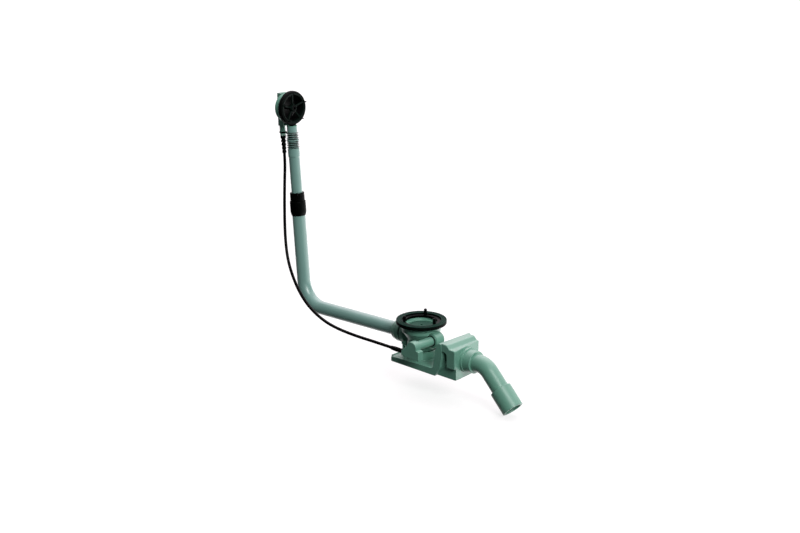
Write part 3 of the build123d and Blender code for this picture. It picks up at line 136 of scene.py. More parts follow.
def mesh_from_grid(name, points, wrap_u=True, wrap_v=True):
    """A mesh from a grid of points, shape (rows, columns, 3). Each face joins a point with the next
    row and column; wrap_u closes the rows on themselves and wrap_v the columns."""
    rows, columns = points.shape[:2]
    row = np.arange(rows if wrap_u else rows - 1)
    column = np.arange(columns if wrap_v else columns - 1)
    i, j = np.meshgrid(row, column, indexing="ij")
    i_next, j_next = (i + 1) % rows, (j + 1) % columns
    corners = [(i, j), (i, j_next), (i_next, j_next), (i_next, j)]
    quads = np.stack([a * columns + b for a, b in corners], axis=-1).reshape(-1, 4)
    mesh = bpy.data.meshes.new(name)
    mesh.vertices.add(rows * columns)
    mesh.vertices.foreach_set("co", points.reshape(-1).astype(np.float32))
    mesh.loops.add(quads.size)
    mesh.loops.foreach_set("vertex_index", quads.reshape(-1).astype(np.int32))
    mesh.polygons.add(len(quads))
    mesh.polygons.foreach_set("loop_start", np.arange(0, quads.size, 4, dtype=np.int32))
    mesh.polygons.foreach_set("loop_total", np.full(len(quads), 4, np.int32))
    mesh.polygons.foreach_set("use_smooth", np.ones(len(quads), bool))
    u = np.stack([i, i, i + 1, i + 1], axis=-1).reshape(-1) / rows
    v = np.stack([j, j + 1, j + 1, j], axis=-1).reshape(-1) / columns
    layer = mesh.uv_layers.new(name="around")
    layer.data.foreach_set("uv", np.stack([v, u], axis=-1).reshape(-1).astype(np.float32))
    mesh.update(calc_edges=True)
    mesh.validate()
    return mesh


def face_outwards(mesh):
    """Turns the faces round if the mesh's signed volume, the sum of a . (b x c) over its triangles,
    is negative."""
    mesh.calc_loop_triangles()
    corner = np.zeros(len(mesh.vertices) * 3, np.float32)
    mesh.vertices.foreach_get("co", corner)
    corner = corner.reshape(-1, 3)
    index = np.zeros(len(mesh.loop_triangles) * 3, np.int32)
    mesh.loop_triangles.foreach_get("vertices", index)
    a, b, c = (corner[index.reshape(-1, 3)[:, k]] for k in range(3))
    if np.einsum("ij,ij->i", a, np.cross(b, c)).sum() < 0:
        mesh.flip_normals()


def rounded_profile(corners, steps=5):
    """Profile of straight lines with round corners. corners is rows of radius, height and rounding.
    At each corner c the line leaves its run at a, a distance d before it, and comes back at b, d
    after it, along the quadratic curve (1-t)^2 a + 2t(1-t) c + t^2 b. d is the rounding, or less than
    half of the shorter run, so that two corners never meet."""
    corners = np.asarray(corners, float)
    points, size = corners[:, :2], corners[:, 2:3]
    before, after = np.roll(points, 1, axis=0) - points, np.roll(points, -1, axis=0) - points
    run_in = np.linalg.norm(before, axis=1, keepdims=True)
    run_out = np.linalg.norm(after, axis=1, keepdims=True)
    d = np.minimum(size, 0.45 * np.minimum(run_in, run_out))
    a = points + before / run_in * d
    b = points + after / run_out * d
    t = np.linspace(0, 1, steps)[None, :, None]
    curve = (1 - t) ** 2 * a[:, None] + 2 * t * (1 - t) * points[:, None] + t**2 * b[:, None]
    return curve.reshape(-1, 2)


def turned(profile, origin, axis, across, turns):
    """Points of a surface of revolution: origin + axis h + r (across cos a + side sin a), with a
    profile of rows (r, h) in metres, and a in as many steps as turns."""
    side = np.cross(axis, across)
    a = np.arange(turns) * TAU / turns
    radius, height = profile[:, 0][:, None], profile[:, 1][:, None]
    ring = across * np.cos(a)[None, :, None] + side * np.sin(a)[None, :, None]
    return origin + axis * height[..., None] + ring * radius[..., None]


def turned_piece(name, profile, seat, turns, node, skin):
    """Turns a closed profile into a piece that stands for a CAD node. seat is the origin, the axis
    and the direction across it in which the turning starts. Corners over 38 degrees stay crisp."""
    mesh = mesh_from_grid(name, turned(profile, *seat, turns))
    face_outwards(mesh)
    mesh.materials.append(skin)
    mesh.set_sharp_from_angle(angle=math.radians(38))
    piece = bpy.data.objects.new(name, mesh)
    bpy.context.scene.collection.objects.link(piece)
    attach(piece, "assembly")
    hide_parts(node)


def ribs(height, start, pitch, count, sharpness):
    """Height of a row of round ribs, 0 between them and 1 on their crests: half of 1 - cos, with the
    given pitch, raised to the power sharpness, and nothing outside the row."""
    wave = 0.5 - 0.5 * np.cos(TAU * (height - start) / pitch)
    inside = (height > start) & (height < start + pitch * count)
    return np.where(inside, wave**sharpness, 0.0)


# Shaders


class Value:
    """What a node gives, a number, a colour or a shader. Numbers have Python's arithmetic."""

    def __init__(self, paint, socket):
        self.paint, self.socket = paint, socket

    def __add__(self, other):
        return self.paint.maths("ADD", self, other)

    __radd__ = __add__

    def __sub__(self, other):
        return self.paint.maths("SUBTRACT", self, other)

    def __rsub__(self, other):
        return self.paint.maths("SUBTRACT", other, self)

    def __mul__(self, other):
        return self.paint.maths("MULTIPLY", self, other)

    __rmul__ = __mul__

    def __truediv__(self, other):
        return self.paint.maths("DIVIDE", self, other)

    def __rtruediv__(self, other):
        return self.paint.maths("DIVIDE", other, self)

    def __pow__(self, other):
        return self.paint.maths("POWER", self, other)

    def __rpow__(self, other):
        return self.paint.maths("POWER", other, self)

    def clip(self):
        """The number held between 0 and 1."""
        return self.paint.maths("ADD", self, 0.0, use_clamp=True)


class Paint:
    """The nodes of one material, or of the world: one method adds any node and fills its sockets."""

    def __init__(self, owner):
        self.owner = owner
        owner.use_nodes = True
        self.tree = owner.node_tree
        self.tree.nodes.clear()

    def node(self, kind, output=0, settings=None, **values):
        """One output of a new node of this kind, or nothing where output is None. Settings are its own
        properties. Values are its sockets by name, with _ for a space, or s0, s1 and so on by number;
        None leaves a socket alone."""
        made = self.tree.nodes.new(kind)
        for key, setting in (settings or {}).items():
            setattr(made, key, setting)
        for key, value in values.items():
            numbered = key[0] == "s" and key[1:].isdigit()
            target = made.inputs[int(key[1:]) if numbered else key.replace("_", " ")]
            if isinstance(value, Value):
                self.tree.links.new(value.socket, target)
            elif value is not None:
                target.default_value = value
        return None if output is None else Value(self, made.outputs[output])

    def maths(self, operation, first, second, **settings):
        """A sum on numbers."""
        settings["operation"] = operation
        return self.node("ShaderNodeMath", 0, settings, s0=first, s1=second)

    def vector(self, operation, first, second=None, output="Vector"):
        """A sum on vectors."""
        return self.node("ShaderNodeVectorMath", output, {"operation": operation}, s0=first, s1=second)

    def place(self):
        """Where a point is on the piece."""
        return self.node("ShaderNodeTexCoord", "Object")

    def from_axis(self, place, origin, axis):
        """(distance along an axis, distance from it) of a point on the piece, in metres."""
        away = self.vector("SUBTRACT", place, tuple(origin))
        along = self.vector("DOT_PRODUCT", away, tuple(axis), "Value")
        aside = self.vector("CROSS_PRODUCT", away, tuple(axis))
        return along, self.vector("LENGTH", aside, output="Value")

    def noise(self, place, scale, detail, rough=0.5):
        """Soft patches between 0 and 1, scale of them to a metre."""
        return self.node(
            "ShaderNodeTexNoise", Vector=place, Scale=scale, Detail=detail, Roughness=rough
        )

    def mix(self, share, first, second):
        """A colour between two, by share."""
        as_colour, kind = 2, {"data_type": "RGBA"}
        return self.node("ShaderNodeMix", as_colour, kind, s0=share, s6=first, s7=second)

    def rounded_edge(self, radius):
        """(how far the surface turns within this radius, the rounded normal)."""
        normal = self.node("ShaderNodeBevel", 0, {"samples": 6}, Radius=radius)
        flat = self.node("ShaderNodeNewGeometry", "Normal")
        alike = self.vector("DOT_PRODUCT", normal, flat, "Value")
        return (1 - alike).clip(), normal

    def bump(self, height, strength, distance, normal=None):
        """The normal of a surface raised by height times distance."""
        return self.node(
            "ShaderNodeBump", Height=height, Strength=strength, Distance=distance, Normal=normal
        )

    def finish(self, **sockets):
        """The material, with these values on its principled shader."""
        return self.show(self.node("ShaderNodeBsdfPrincipled", **sockets), "ShaderNodeOutputMaterial")

    def show(self, shader, kind):
        """The material or world, with this shader in an output of this kind."""
        self.node(kind, None, Surface=shader)
        return self.owner


def rgba(colour):
    """A colour with its alpha, for a socket."""
    return (*tuple(colour)[:3], 1.0)


def shade(colour, factor):
    """The same colour, lighter or darker."""
    return rgba(min(1.0, c * factor) for c in tuple(colour)[:3])


def rise(value, over):
    """0 where value is negative, 1 where it is more than over, and an even slope between."""
    return (value / over).clip()


def swing(pattern, width):
    """A pattern from 0 to 1 made to swing evenly about 0, over this width."""
    return (pattern - 0.5) * width


def moulded_plastic(name, colour, rough, shine=0.5, grain=0.02, sheen=0.0, second=None):
    """Injection moulded plastic: a fine even grain, slow drifts of tone where the melt cooled, rounded
    edges with a painted highlight along them, and flat patches that shine a little more. grain is its
    height in millimetres, sheen a clear dull skin, and second a colour with the rule that says where it
    shows."""
    darkest, lightest, edge_highlight_tone, edge_width = 0.93, 1.07, 1.9, 0.8 * MM
    paint = Paint(bpy.data.materials.new(name))
    place = paint.place()
    drift = paint.noise(place, scale=14.0, detail=2.0)
    flow = paint.noise(place, scale=60.0, detail=4.0, rough=0.6)
    fine = paint.noise(place, scale=1400.0, detail=2.0)
    edge, normal = paint.rounded_edge(edge_width)
    tone = (drift * 0.7 + flow * 0.3).clip()
    body = paint.mix(tone, shade(colour, darkest), shade(colour, lightest))
    # Painted highlight: the edges are made paler, as if light caught them.
    skin = paint.mix((edge * 1.5).clip(), body, shade(colour, edge_highlight_tone))
    if second:
        other, where = second
        skin = paint.mix(where(paint, place), skin, rgba(other))
    height = fine * 0.7 + flow * 0.3
    return paint.finish(
        Base_Color=skin,
        Roughness=(rough + swing(flow, 0.10) + swing(fine, 0.08)).clip(),
        IOR=1.49,
        Specular_IOR_Level=shine,
        Coat_Weight=sheen,
        Coat_Roughness=0.42,
        Normal=paint.bump(height, strength=0.25, distance=grain * MM, normal=normal),
    )


def painted_bowl_shade(paint, place):
    """1 on the inner walls of the overflow's bowl and of the duct under it, 0 on their outside: where
    black is painted in as the shade inside them.
    """
    blur = 0.25 * MM
    along, radius = paint.from_axis(place, HEAD, TO_BATH)
    bowl = rise(BOWL_WALL - radius, blur) * rise(along + BOWL_DEPTH, blur)
    height, duct_radius = paint.from_axis(place, RISER_FOOT, RISER_UP)
    duct = rise(DUCT_WALL - duct_radius, blur) * rise(DUCT_TOP - height, blur)
    return (bowl + duct).clip()


def painted_fold_shade(paint, place):
    """Rises to 0.95 from a crest of the bellows to the root of a fold, and is 0 off the bellows: painted
    shade, darkest where the folds are deepest.
    """
    most, crest, slope = 0.95, (FOLD_CREST - 0.2) * MM, MM / 0.9
    inset, blur = 0.2, 0.5 * MM
    along, radius = paint.from_axis(place, RISER_FOOT, RISER_UP)
    above = rise(along - (FOLDS_START + inset) * MM, blur)
    below = rise((FOLDS_END - inset) * MM - along, blur)
    return rise(crest - radius, slope) * (above * below) * most


def seal_top_reflection(paint, place):
    """1 on the top face of the waste's seal, 0 below its rim: where a dark green reflection is painted
    on.
    """
    rim, blur = 1.6 * MM, MM / 1.5
    height, _ = paint.from_axis(place, WASTE, Z_AXIS)
    return rise(height + rim, blur)


def black_rubber(name, colour, rough=0.50, second=None):
    """Moulded rubber: almost black, a dull bloom in soft patches, a fine pitted skin. second is a
    colour with the rule that says where it shows."""
    dusty_tone, bloom_from, bloom_share, edge_share, edge_width = 2.2, 0.45, 0.55, 0.35, 0.4 * MM
    paint = Paint(bpy.data.materials.new(name))
    place = paint.place()
    bloom = paint.noise(place, scale=55.0, detail=5.0, rough=0.62)
    pits = paint.noise(place, scale=900.0, detail=3.0, rough=0.7)
    edge, normal = paint.rounded_edge(edge_width)
    dusty = ((bloom - bloom_from) * 2.2).clip() * bloom_share + edge * edge_share
    skin = paint.mix(dusty.clip(), rgba(colour), shade(colour, dusty_tone))
    if second:
        other, where = second
        skin = paint.mix(where(paint, place), skin, rgba(other))
    return paint.finish(
        Base_Color=skin,
        Roughness=(rough + swing(bloom, 0.22) + swing(pits, 0.10)).clip(),
        IOR=1.52,
        Specular_IOR_Level=0.06,
        Normal=paint.bump(pits, strength=0.35, distance=0.05 * MM, normal=normal),
    )


def drawn_wire(name, colour):
    """Galvanised wire: bright metal with fine draw marks and dull patches."""
    darkest, lightest = 0.8, 1.1
    paint = Paint(bpy.data.materials.new(name))
    place = paint.place()
    streak = paint.noise(place, scale=3000.0, detail=2.0)
    dull = paint.noise(place, scale=400.0, detail=3.0)
    return paint.finish(
        Base_Color=paint.mix(dull, shade(colour, darkest), shade(colour, lightest)),
        Metallic=1.0,
        Roughness=(0.26 + dull * 0.18).clip(),
        Normal=paint.bump(streak, strength=0.2, distance=0.02 * MM),
    )


def sheath_skin(name, colour):
    """Extruded cable sheath: black with a soft shine, a fine grain and scuffs."""
    scuff_tone, scuff_from = 2.4, 0.56
    paint = Paint(bpy.data.materials.new(name))
    place = paint.place()
    scuff = paint.noise(place, scale=140.0, detail=5.0, rough=0.65)
    fine = paint.noise(place, scale=1500.0, detail=2.0)
    worn = rise(scuff - scuff_from, 0.25)
    return paint.finish(
        Base_Color=paint.mix(worn, rgba(colour), shade(colour, scuff_tone)),
        Roughness=(0.34 + worn * 0.2 + swing(fine, 0.1)).clip(),
        IOR=1.5,
        Specular_IOR_Level=0.08,
        Normal=paint.bump(fine, strength=0.2, distance=0.03 * MM),
    )


def white_paper(name, bounce, share, glow, rear, mirrored):
    """Paper of three kinds. What lights the object is a matt paper of the colour bounce, with a glow of
    the strength rear behind the object. What shines in its plastic is that glow at the strength
    mirrored. What the camera sees is white: a share of matt white, which takes the object's shadow,
    and a glow over it."""
    glow_start, glow_width = -0.05, 1 / 6
    paint = Paint(bpy.data.materials.new(name))
    place = paint.place()
    fleck = paint.mix(paint.noise(place, scale=3.0, detail=2.0), shade(bounce, 0.99), rgba(bounce))
    depth = paint.node("ShaderNodeSeparateXYZ", "Y", s0=place)
    behind = paint.mix(rise(depth - glow_start, glow_width), BLACK, WHITE)
    matt = paint.node("ShaderNodeBsdfDiffuse", Color=fleck)
    lit = paint.node("ShaderNodeEmission", Color=behind, Strength=rear)
    felt = paint.node("ShaderNodeAddShader", s0=matt, s1=lit)
    shining = paint.node("ShaderNodeEmission", Color=behind, Strength=mirrored)
    white = paint.node("ShaderNodeBsdfDiffuse", Color=shade(WHITE, share))
    light = paint.node("ShaderNodeEmission", Color=WHITE, Strength=glow)
    seen = paint.node("ShaderNodeAddShader", s0=white, s1=light)
    in_gloss = paint.node("ShaderNodeLightPath", "Is Glossy Ray")
    in_camera = paint.node("ShaderNodeLightPath", "Is Camera Ray")
    touched = paint.node("ShaderNodeMixShader", s0=in_gloss, s1=felt, s2=shining)
    surface = paint.node("ShaderNodeMixShader", s0=in_camera, s1=touched, s2=seen)
    return paint.show(surface, "ShaderNodeOutputMaterial")


# Sizes and colours


class WasteSizes(bpy.types.PropertyGroup):
    """Sizes of the dressed pieces."""

    sheath_diameter: bpy.props.FloatProperty(
        name="Sheath diameter",
        description="Outside of the cable sheath",
        default=7.2 * MM,
        unit="LENGTH",
    )
    boot_ribs: bpy.props.IntProperty(
        name="Boot ribs", description="Ribs on the upper cable boot", default=4, min=3, max=10
    )
    bellows_depth: bpy.props.FloatProperty(
        name="Bellows depth",
        description="From root to crest of a fold",
        default=3.2 * MM,
        unit="LENGTH",
    )
    floor_drop: bpy.props.FloatProperty(
        name="Floor",
        description="Gap between the lowest point and the floor",
        default=1.0 * MM,
        unit="LENGTH",
    )


class WasteColours(bpy.types.PropertyGroup):
    """Colours of the finishes."""

    green: bpy.props.FloatVectorProperty(
        name="Green plastic",
        description="Body, trap and outlet",
        subtype="COLOR",
        default=(0.132, 0.330, 0.244),
    )
    pipe: bpy.props.FloatVectorProperty(
        name="Pipe plastic",
        description="Overflow pipes",
        subtype="COLOR",
        default=(0.175, 0.335, 0.295),
    )
    light_green: bpy.props.FloatVectorProperty(
        name="Light green",
        description="Collar under the strap",
        subtype="COLOR",
        default=(0.36, 0.55, 0.47),
    )
    # Painted shade: the lift plate's green is darkened for the shade of the ring and cup over it.
    plate_shade_green: bpy.props.FloatVectorProperty(
        name="Dark green",
        description="Lift plate",
        subtype="COLOR",
        default=(0.018, 0.070, 0.048),
    )
    # Black of the union, strap and sheath; inside the overflow's bowl it is painted shade.
    black: bpy.props.FloatVectorProperty(
        name="Black plastic",
        description="Union, strap, sheath and bowl",
        subtype="COLOR",
        default=(0.0006, 0.0010, 0.0009),
    )
    # The star's own near-black, which is also the painted shade in the bellows' folds.
    star: bpy.props.FloatVectorProperty(
        name="Overflow star",
        description="Spokes in the overflow, and the bellows' folds",
        subtype="COLOR",
        default=(0.003, 0.008, 0.006),
    )
    # Painted reflection: the dark green sheen on the top face of the ring round the waste.
    seal: bpy.props.FloatVectorProperty(
        name="Waste seal",
        description="Top face of the ring round the waste",
        subtype="COLOR",
        default=(0.006, 0.030, 0.021),
    )
    rubber: bpy.props.FloatVectorProperty(
        name="Rubber",
        description="Seals and boots",
        subtype="COLOR",
        default=(0.0010, 0.0020, 0.0016),
    )
    pale: bpy.props.FloatVectorProperty(
        name="Pale plastic",
        description="Lever, slider and guide",
        subtype="COLOR",
        default=(0.42, 0.47, 0.45),
    )
    steel: bpy.props.FloatVectorProperty(
        name="Wire",
        description="Ends of the inner wire",
        subtype="COLOR",
        default=(0.55, 0.56, 0.57),
    )
    paper: bpy.props.FloatVectorProperty(
        name="Bounce",
        description="What the floor sends back to the object",
        subtype="COLOR",
        default=(0.08, 0.09, 0.09),
    )


def sizes():
    """The scene's sizes."""
    return bpy.context.scene.waste_sizes


def colours():
    """The scene's colours."""
    return bpy.context.scene.waste_colours


# Pieces


class WASTE_OT_stage(bpy.types.Operator):
    """Adds the camera, the lamp, the sky and the pale floor."""

    bl_idname = "waste.stage"
    bl_label = "Studio"

    def execute(self, context):
        scene = context.scene
        scene.view_settings.view_transform = "Standard"
        self.camera(scene)
        self.floor(scene)
        self.lamp(scene, "key", strength=2.3, spread=26.0, direction=(0.72, -0.30, 0.58))
        self.sky(scene)
        return {"FINISHED"}

    def camera(self, scene):
        """A long lens that looks down at the object, as fitted to the photograph."""
        camera = bpy.data.objects.new("camera", bpy.data.cameras.new("camera"))
        scene.collection.objects.link(camera)
        camera.data.sensor_width = 36.0
        camera.data.lens = 85.0
        camera.data.clip_end = 100.0
        camera.location = CAMERA_PLACE
        camera.rotation_euler = (math.pi / 2 - CAMERA_DOWN, 0.0, CAMERA_ROUND)
        scene.camera = camera

    def floor(self, scene):
        """A flat square just under the object's lowest point."""
        reach, level = 14.0, CAD_BOX[0][2] - sizes().floor_drop
        grid = np.array([[(-reach, -reach), (reach, -reach)], [(-reach, reach), (reach, reach)]])
        points = np.concatenate([grid, np.full((2, 2, 1), level)], axis=-1)
        mesh = mesh_from_grid("floor", points, wrap_u=False, wrap_v=False)
        floor = bpy.data.objects.new("floor", mesh)
        scene.collection.objects.link(floor)
        paper = white_paper(
            "white_paper", colours().paper, share=0.34, glow=0.72, rear=0.5, mirrored=2.4
        )
        mesh.materials.append(paper)

    def lamp(self, scene, name, strength, spread, direction):
        """A far soft lamp: it shines from this direction, over a spread in degrees."""
        data = bpy.data.lights.new(name, "SUN")
        data.energy, data.angle = strength, math.radians(spread)
        lamp = bpy.data.objects.new(name, data)
        lamp.location = direction
        lamp.rotation_euler = Vector(direction).to_track_quat("Z", "Y").to_euler()
        scene.collection.objects.link(lamp)

    def sky(self, scene):
        """White where the camera sees it. Its light is bright from above and behind and dim from the
        front: dim + (bright - dim) t^4, where t rises from 0 to 1 as a direction turns to bright_side."""
        dim, bright, bright_side = 0.015, 2.9, Vector((-0.30, 0.55, 0.78)).normalized()
        darkest_from, tint = -0.25, (1.0, 0.89, 0.94, 1.0)
        scene.world = bpy.data.worlds.new("studio")
        paint = Paint(scene.world)
        direction = paint.node("ShaderNodeTexCoord", "Generated")
        along = paint.vector("DOT_PRODUCT", direction, bright_side, "Value")
        t = rise(along - darkest_from, 1.0 - darkest_from)
        strength = dim + (bright - dim) * t**4.0
        light = paint.node("ShaderNodeBackground", Color=tint, Strength=strength)
        white = paint.node("ShaderNodeBackground", Color=WHITE)
        in_camera = paint.node("ShaderNodeLightPath", "Is Camera Ray")
        surface = paint.node("ShaderNodeMixShader", s0=in_camera, s1=light, s2=white)
        paint.show(surface, "ShaderNodeOutputWorld")


class WASTE_OT_sheath(bpy.types.Operator):
    """Adds the cable sheath along its route."""

    bl_idname = "waste.sheath"
    bl_label = "Cable sheath"

    def execute(self, context):
        data = bpy.data.curves.new("sheath", "CURVE")
        data.dimensions = "3D"
        spline = data.splines.new("NURBS")
        spline.points.add(len(SHEATH_ROUTE) - 1)
        for point, place in zip(spline.points, SHEATH_ROUTE):
            point.co = (*place, 1.0)
        spline.order_u = 3
        spline.use_endpoint_u = True
        spline.resolution_u = 10
        data.bevel_depth = sizes().sheath_diameter / 2
        data.bevel_resolution = 6
        data.use_fill_caps = True
        sheath = bpy.data.objects.new("sheath", data)
        context.scene.collection.objects.link(sheath)
        data.materials.append(sheath_skin("sheath_skin", colours().black))
        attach(sheath, "assembly")
        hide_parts("bowden_sheath")
        return {"FINISHED"}


class WASTE_OT_boots(bpy.types.Operator):
    """Adds the ribbed rubber boots at both ends of the sheath."""

    bl_idname = "waste.boots"
    bl_label = "Cable boots"

    def execute(self, context):
        skin = black_rubber("boot_rubber", colours().rubber, rough=0.40)
        for name, profile, seat, node in (
            ("upper_boot", self.upper_profile(), (BOOT_AXIS, RISER_UP, -TO_BATH), "upper_cable_boot"),
            ("lower_boot", self.lower_profile(), (LEVER_SEAT, -X_AXIS, Z_AXIS), "lower_cable_boot"),
        ):
            turned_piece(name, profile, seat, 72, node, skin)
        return {"FINISHED"}

    def upper_profile(self):
        """Outer wall from the top down, in millimetres: the radius falls evenly from wide to slim and
        loses first_groove between the first ribs and last_groove between the last; then the bores."""
        top, foot, collar, cuff, sheath_end = -68.5, -110.5, 5.0, 3.0, -88.5
        wide, slim, first_groove, last_groove = 6.8, 5.0, 2.0, 0.9
        count = sizes().boot_ribs
        height = np.linspace(top, foot, 150)
        share = (top - height) / (top - foot)
        pitch = (top - collar - foot - cuff) / count
        groove = ribs(top - collar - height, 0.0, pitch, count, sharpness=1.6)
        depth = first_groove - (first_groove - last_groove) * share
        radius = wide - (wide - slim) * share - depth * groove
        bores = [
            (SHEATH_BORE, foot),
            (SHEATH_BORE, sheath_end),
            (WIRE_BORE, sheath_end),
            (WIRE_BORE, top),
        ]
        return self.with_bores(radius, height, 0.5, bores)

    def lower_profile(self):
        """From the case outwards, in millimetres: a neck in the case's wall, a barrel with three
        grooves, and a taper over the sheath."""
        end, taper_start, sheath_end, neck_end, seam = 38.0, 22.0, 20.0, -3.2, -0.02
        barrel, neck, loss = 5.4, 4.0, 0.8
        height = np.linspace(0.0, end, 150)
        taper = np.clip((height - taper_start) / (end - taper_start), 0, 1) ** 1.4
        grooves = ribs(height, start=3.5, pitch=5.0, count=3, sharpness=2.5)
        radius = barrel - loss * taper - loss * grooves
        bores = [
            (SHEATH_BORE, end),
            (SHEATH_BORE, sheath_end),
            (WIRE_BORE, sheath_end),
            (WIRE_BORE, neck_end),
            (neck, neck_end),
            (neck, seam),
        ]
        return self.with_bores(radius, height, 0.3, bores)

    def with_bores(self, radius, height, corner, bores):
        """The outer wall, with both its ends drawn in by corner, then the bores, in metres."""
        radius[[0, -1]] -= corner
        return np.concatenate([np.stack([radius, height], axis=-1), np.array(bores)]) * MM


class WASTE_OT_bellows(bpy.types.Operator):
    """Adds the upper overflow pipe with its two sets of round folds."""

    bl_idname = "waste.bellows"
    bl_label = "Bellows pipe"

    def execute(self, context):
        profile = np.concatenate([self.outer_wall(), self.inner_wall()[::-1]]) * MM
        seat = (RISER_FOOT, RISER_UP, TO_BATH)
        # Painted shade: the roots of the folds are darkened to the star's near-black.
        folds = (colours().star, painted_fold_shade)
        skin = moulded_plastic("bellows_green", colours().pipe, rough=0.42, sheen=0.8, second=folds)
        turned_piece("bellows_pipe", profile, seat, 96, "overflow_flex_pipe", skin)
        return {"FINISHED"}

    def wall(self, height, plain, neck, crest, root):
        """Radius of a wall in millimetres. Between the ends of the bellows it is root plus the folds
        and the band, up to crest. Above them it is neck. Below them it is plain, and from LIP_START up
        1 mm wider, along the logistic curve 1 / (1 + e^-x)."""
        folds = ribs(height, **CLOSE_FOLDS) + ribs(height, **WIDE_FOLDS)
        band = np.exp(-(((height - BAND_MIDDLE) / BAND_HALF) ** 6))
        bellows = root + (crest - root) * np.clip(folds + band, 0, 1)
        lip = 1.0 / (1.0 + np.exp(-(height - LIP_START) * 2.0))
        ends = np.where(height < BAND_MIDDLE, plain + lip, neck)
        return np.where((height > FOLDS_START) & (height < FOLDS_END), bellows, ends)

    def outer_wall(self):
        """From the pipe's foot to its top, with more points where the lip and the folds are."""
        dense_from, dense_to, gap = 357.0, 424.0, 1.0
        foot = np.linspace(PIPE_FOOT, dense_from - gap, 24)
        folds = np.linspace(dense_from, dense_to, 420)
        top = np.linspace(dense_to + gap, PIPE_TOP, 6)
        height = np.concatenate([foot, folds, top])
        root = FOLD_CREST - sizes().bellows_depth / MM
        radius = self.wall(height, PIPE_RADIUS, neck=12.0, crest=FOLD_CREST, root=root)
        return np.stack([radius, height], axis=-1)

    def inner_wall(self):
        """The bore, which follows the folds softly at a wall's thickness."""
        thickness = 1.8
        height = np.linspace(PIPE_FOOT, PIPE_TOP, 200)
        radius = self.wall(height, PIPE_RADIUS, neck=12.1, crest=14.0, root=13.0) - thickness
        return np.stack([radius, height], axis=-1)


class WASTE_OT_seals(bpy.types.Operator):
    """Adds the rubber rings: the waste seal, the overflow seal and the ring on the case's tube."""

    bl_idname = "waste.seals"
    bl_label = "Rubber seals"

    def execute(self, context):
        plain = black_rubber("seal_rubber", colours().rubber)
        # Painted reflection: the seal's top face is tinted dark green as its sheen.
        top = (colours().seal, seal_top_reflection)
        top_reflection_rubber = black_rubber("waste_seal_rubber", colours().rubber, rough=0.62, second=top)
        for name, profile, seat, node, skin in (
            ("waste_ring", self.waste_profile(), (WASTE, Z_AXIS, X_AXIS), "waste_seal_ring", top_reflection_rubber),
            ("overflow_ring", self.overflow_profile(), (HEAD, TO_BATH, Y_AXIS), "overflow_seal", plain),
            ("tube_ring", self.tube_profile(), (TUBE_AXIS, -Y_AXIS, X_AXIS), "shaft_o_ring", plain),
        ):
            turned_piece(name, profile * MM, seat, 160, node, skin)
        return {"FINISHED"}

    def waste_profile(self):
        """Flat ring with round outer corners and two gripping grooves in its top, in millimetres."""
        bore, rim, depth = 44.8, 57.5, 9.0
        body = [(bore, -depth, 0.3), (rim, -depth, 1.6), (rim, 0.0, 2.4)]
        return rounded_profile([*body, *self.groove(54.1), *self.groove(49.8), (bore, 0.0, 0.9)])

    def groove(self, edge):
        """Corners of a groove in a flat top, from its outer edge inwards."""
        width, depth, slope = 1.6, 0.8, 0.2
        return [
            (edge, 0.0, 0.5),
            (edge - slope, -depth, 0.4),
            (edge - width + slope, -depth, 0.4),
            (edge - width, 0.0, 0.5),
        ]

    def overflow_profile(self):
        """Thick ring with a soft shoulder, a groove round its rim, and a narrow nose towards the bath,
        in millimetres."""
        bore, rim, groove, nose = 35.6, 40.2, 39.7, 38.2
        return rounded_profile(
            [
                (bore, 2.0, 0.3),
                (rim, 2.0, 1.2),
                (rim, 3.6, 0.4),
                (groove, 4.0, 0.3),
                (groove, 4.6, 0.3),
                (rim, 5.0, 0.4),
                (rim, 7.2, 2.0),
                (nose, 12.0, 1.2),
                (bore, 12.0, 0.5),
            ]
        )

    def tube_profile(self):
        """An oval section, a little flattened against the collar, in millimetres."""
        radius, height, half_thick, half_high = 11.7, 19.6, 1.1, 1.0
        a = np.linspace(0, TAU, 24, endpoint=False)
        return np.stack([radius + half_thick * np.cos(a), height + half_high * np.sin(a)], axis=-1)


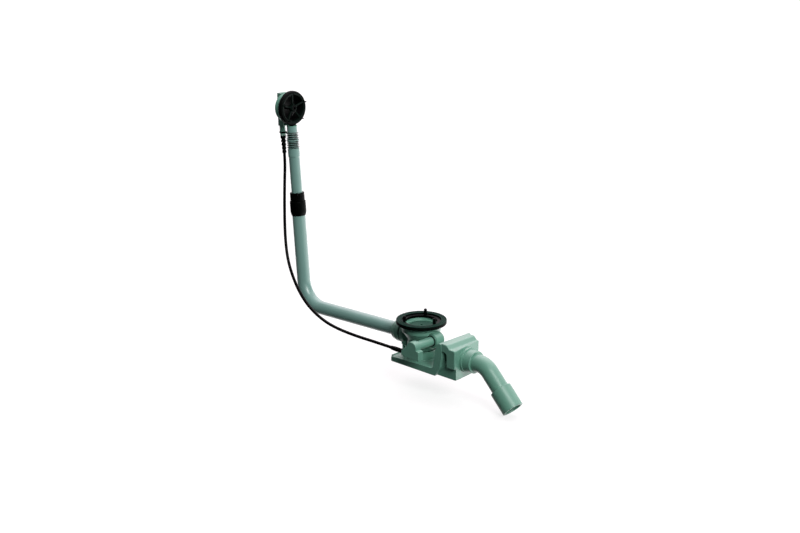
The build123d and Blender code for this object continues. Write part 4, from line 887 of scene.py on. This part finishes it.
class WASTE_OT_finishes(bpy.types.Operator):
    """Gives each piece of the CAD model its finish."""

    bl_idname = "waste.finishes"
    bl_label = "Finishes"

    def execute(self, context):
        colour = colours()
        # Painted shade: the insides of the overflow's bowl and duct are coloured black.
        inside = (colour.black, painted_bowl_shade)
        by_slot = {
            "green_plastic": moulded_plastic("moulded_green", colour.green, 0.42, shine=0.6, sheen=0.8),
            "light_green_plastic": moulded_plastic("light_green", colour.light_green, 0.42),
            "black_plastic": moulded_plastic("moulded_black", colour.black, 0.40, shine=0.05),
            "pale_plastic": moulded_plastic("pale_plastic", colour.pale, 0.35),
            "black_rubber": black_rubber("ring_rubber", colour.rubber),
            "steel_wire": drawn_wire("wire_end", colour.steel),
        }
        pipe = moulded_plastic("pipe_green", colour.pipe, 0.38, shine=0.6, grain=0.01, sheen=0.8)
        bowl = moulded_plastic("bowl_green", colour.green, 0.42, shine=0.3, second=inside)
        by_node = {
            "overflow_bend_pipe": pipe,
            "overflow_housing": bowl,
            # Painted shade: the lift plate is coloured dark, as if in the cup's shade.
            "lift_plate": moulded_plastic("plate_green", colour.plate_shade_green, 0.60, shine=0.1),
            "overflow_star": moulded_plastic("star_black", colour.star, 0.40, shine=0.06),
        }
        for row in frame["record"]["subparts"]:
            node = frame["nodes"][row["node"]]
            node.data.materials.clear()
            node.data.materials.append(by_node.get(row["node"]) or by_slot[row["material_slot"]])
        return {"FINISHED"}


STEPS = (
    WASTE_OT_stage,
    WASTE_OT_sheath,
    WASTE_OT_boots,
    WASTE_OT_bellows,
    WASTE_OT_seals,
    WASTE_OT_finishes,
)


class WASTE_PT_panel(bpy.types.Panel):
    """Lists the sizes, the colours and the steps."""

    bl_idname = "WASTE_PT_panel"
    bl_label = "Bath Waste"
    bl_space_type = "VIEW_3D"
    bl_region_type = "UI"
    bl_category = "Bath Waste"

    def draw(self, context):
        for group in (context.scene.waste_sizes, context.scene.waste_colours):
            for name in group.__annotations__:
                self.layout.prop(group, name)
        for step in STEPS:
            self.layout.operator(step.bl_idname)


CLASSES = (WasteSizes, WasteColours, *STEPS, WASTE_PT_panel)


def register():
    for each in CLASSES:
        bpy.utils.register_class(each)
    bpy.types.Scene.waste_sizes = bpy.props.PointerProperty(type=WasteSizes)
    bpy.types.Scene.waste_colours = bpy.props.PointerProperty(type=WasteColours)


def unregister():
    del bpy.types.Scene.waste_colours
    del bpy.types.Scene.waste_sizes
    for each in reversed(CLASSES):
        bpy.utils.unregister_class(each)


def main():
    register()
    for step in STEPS:
        group, name = step.bl_idname.split(".")
        getattr(getattr(bpy.ops, group), name)()


if __name__ == "__main__":
    main()
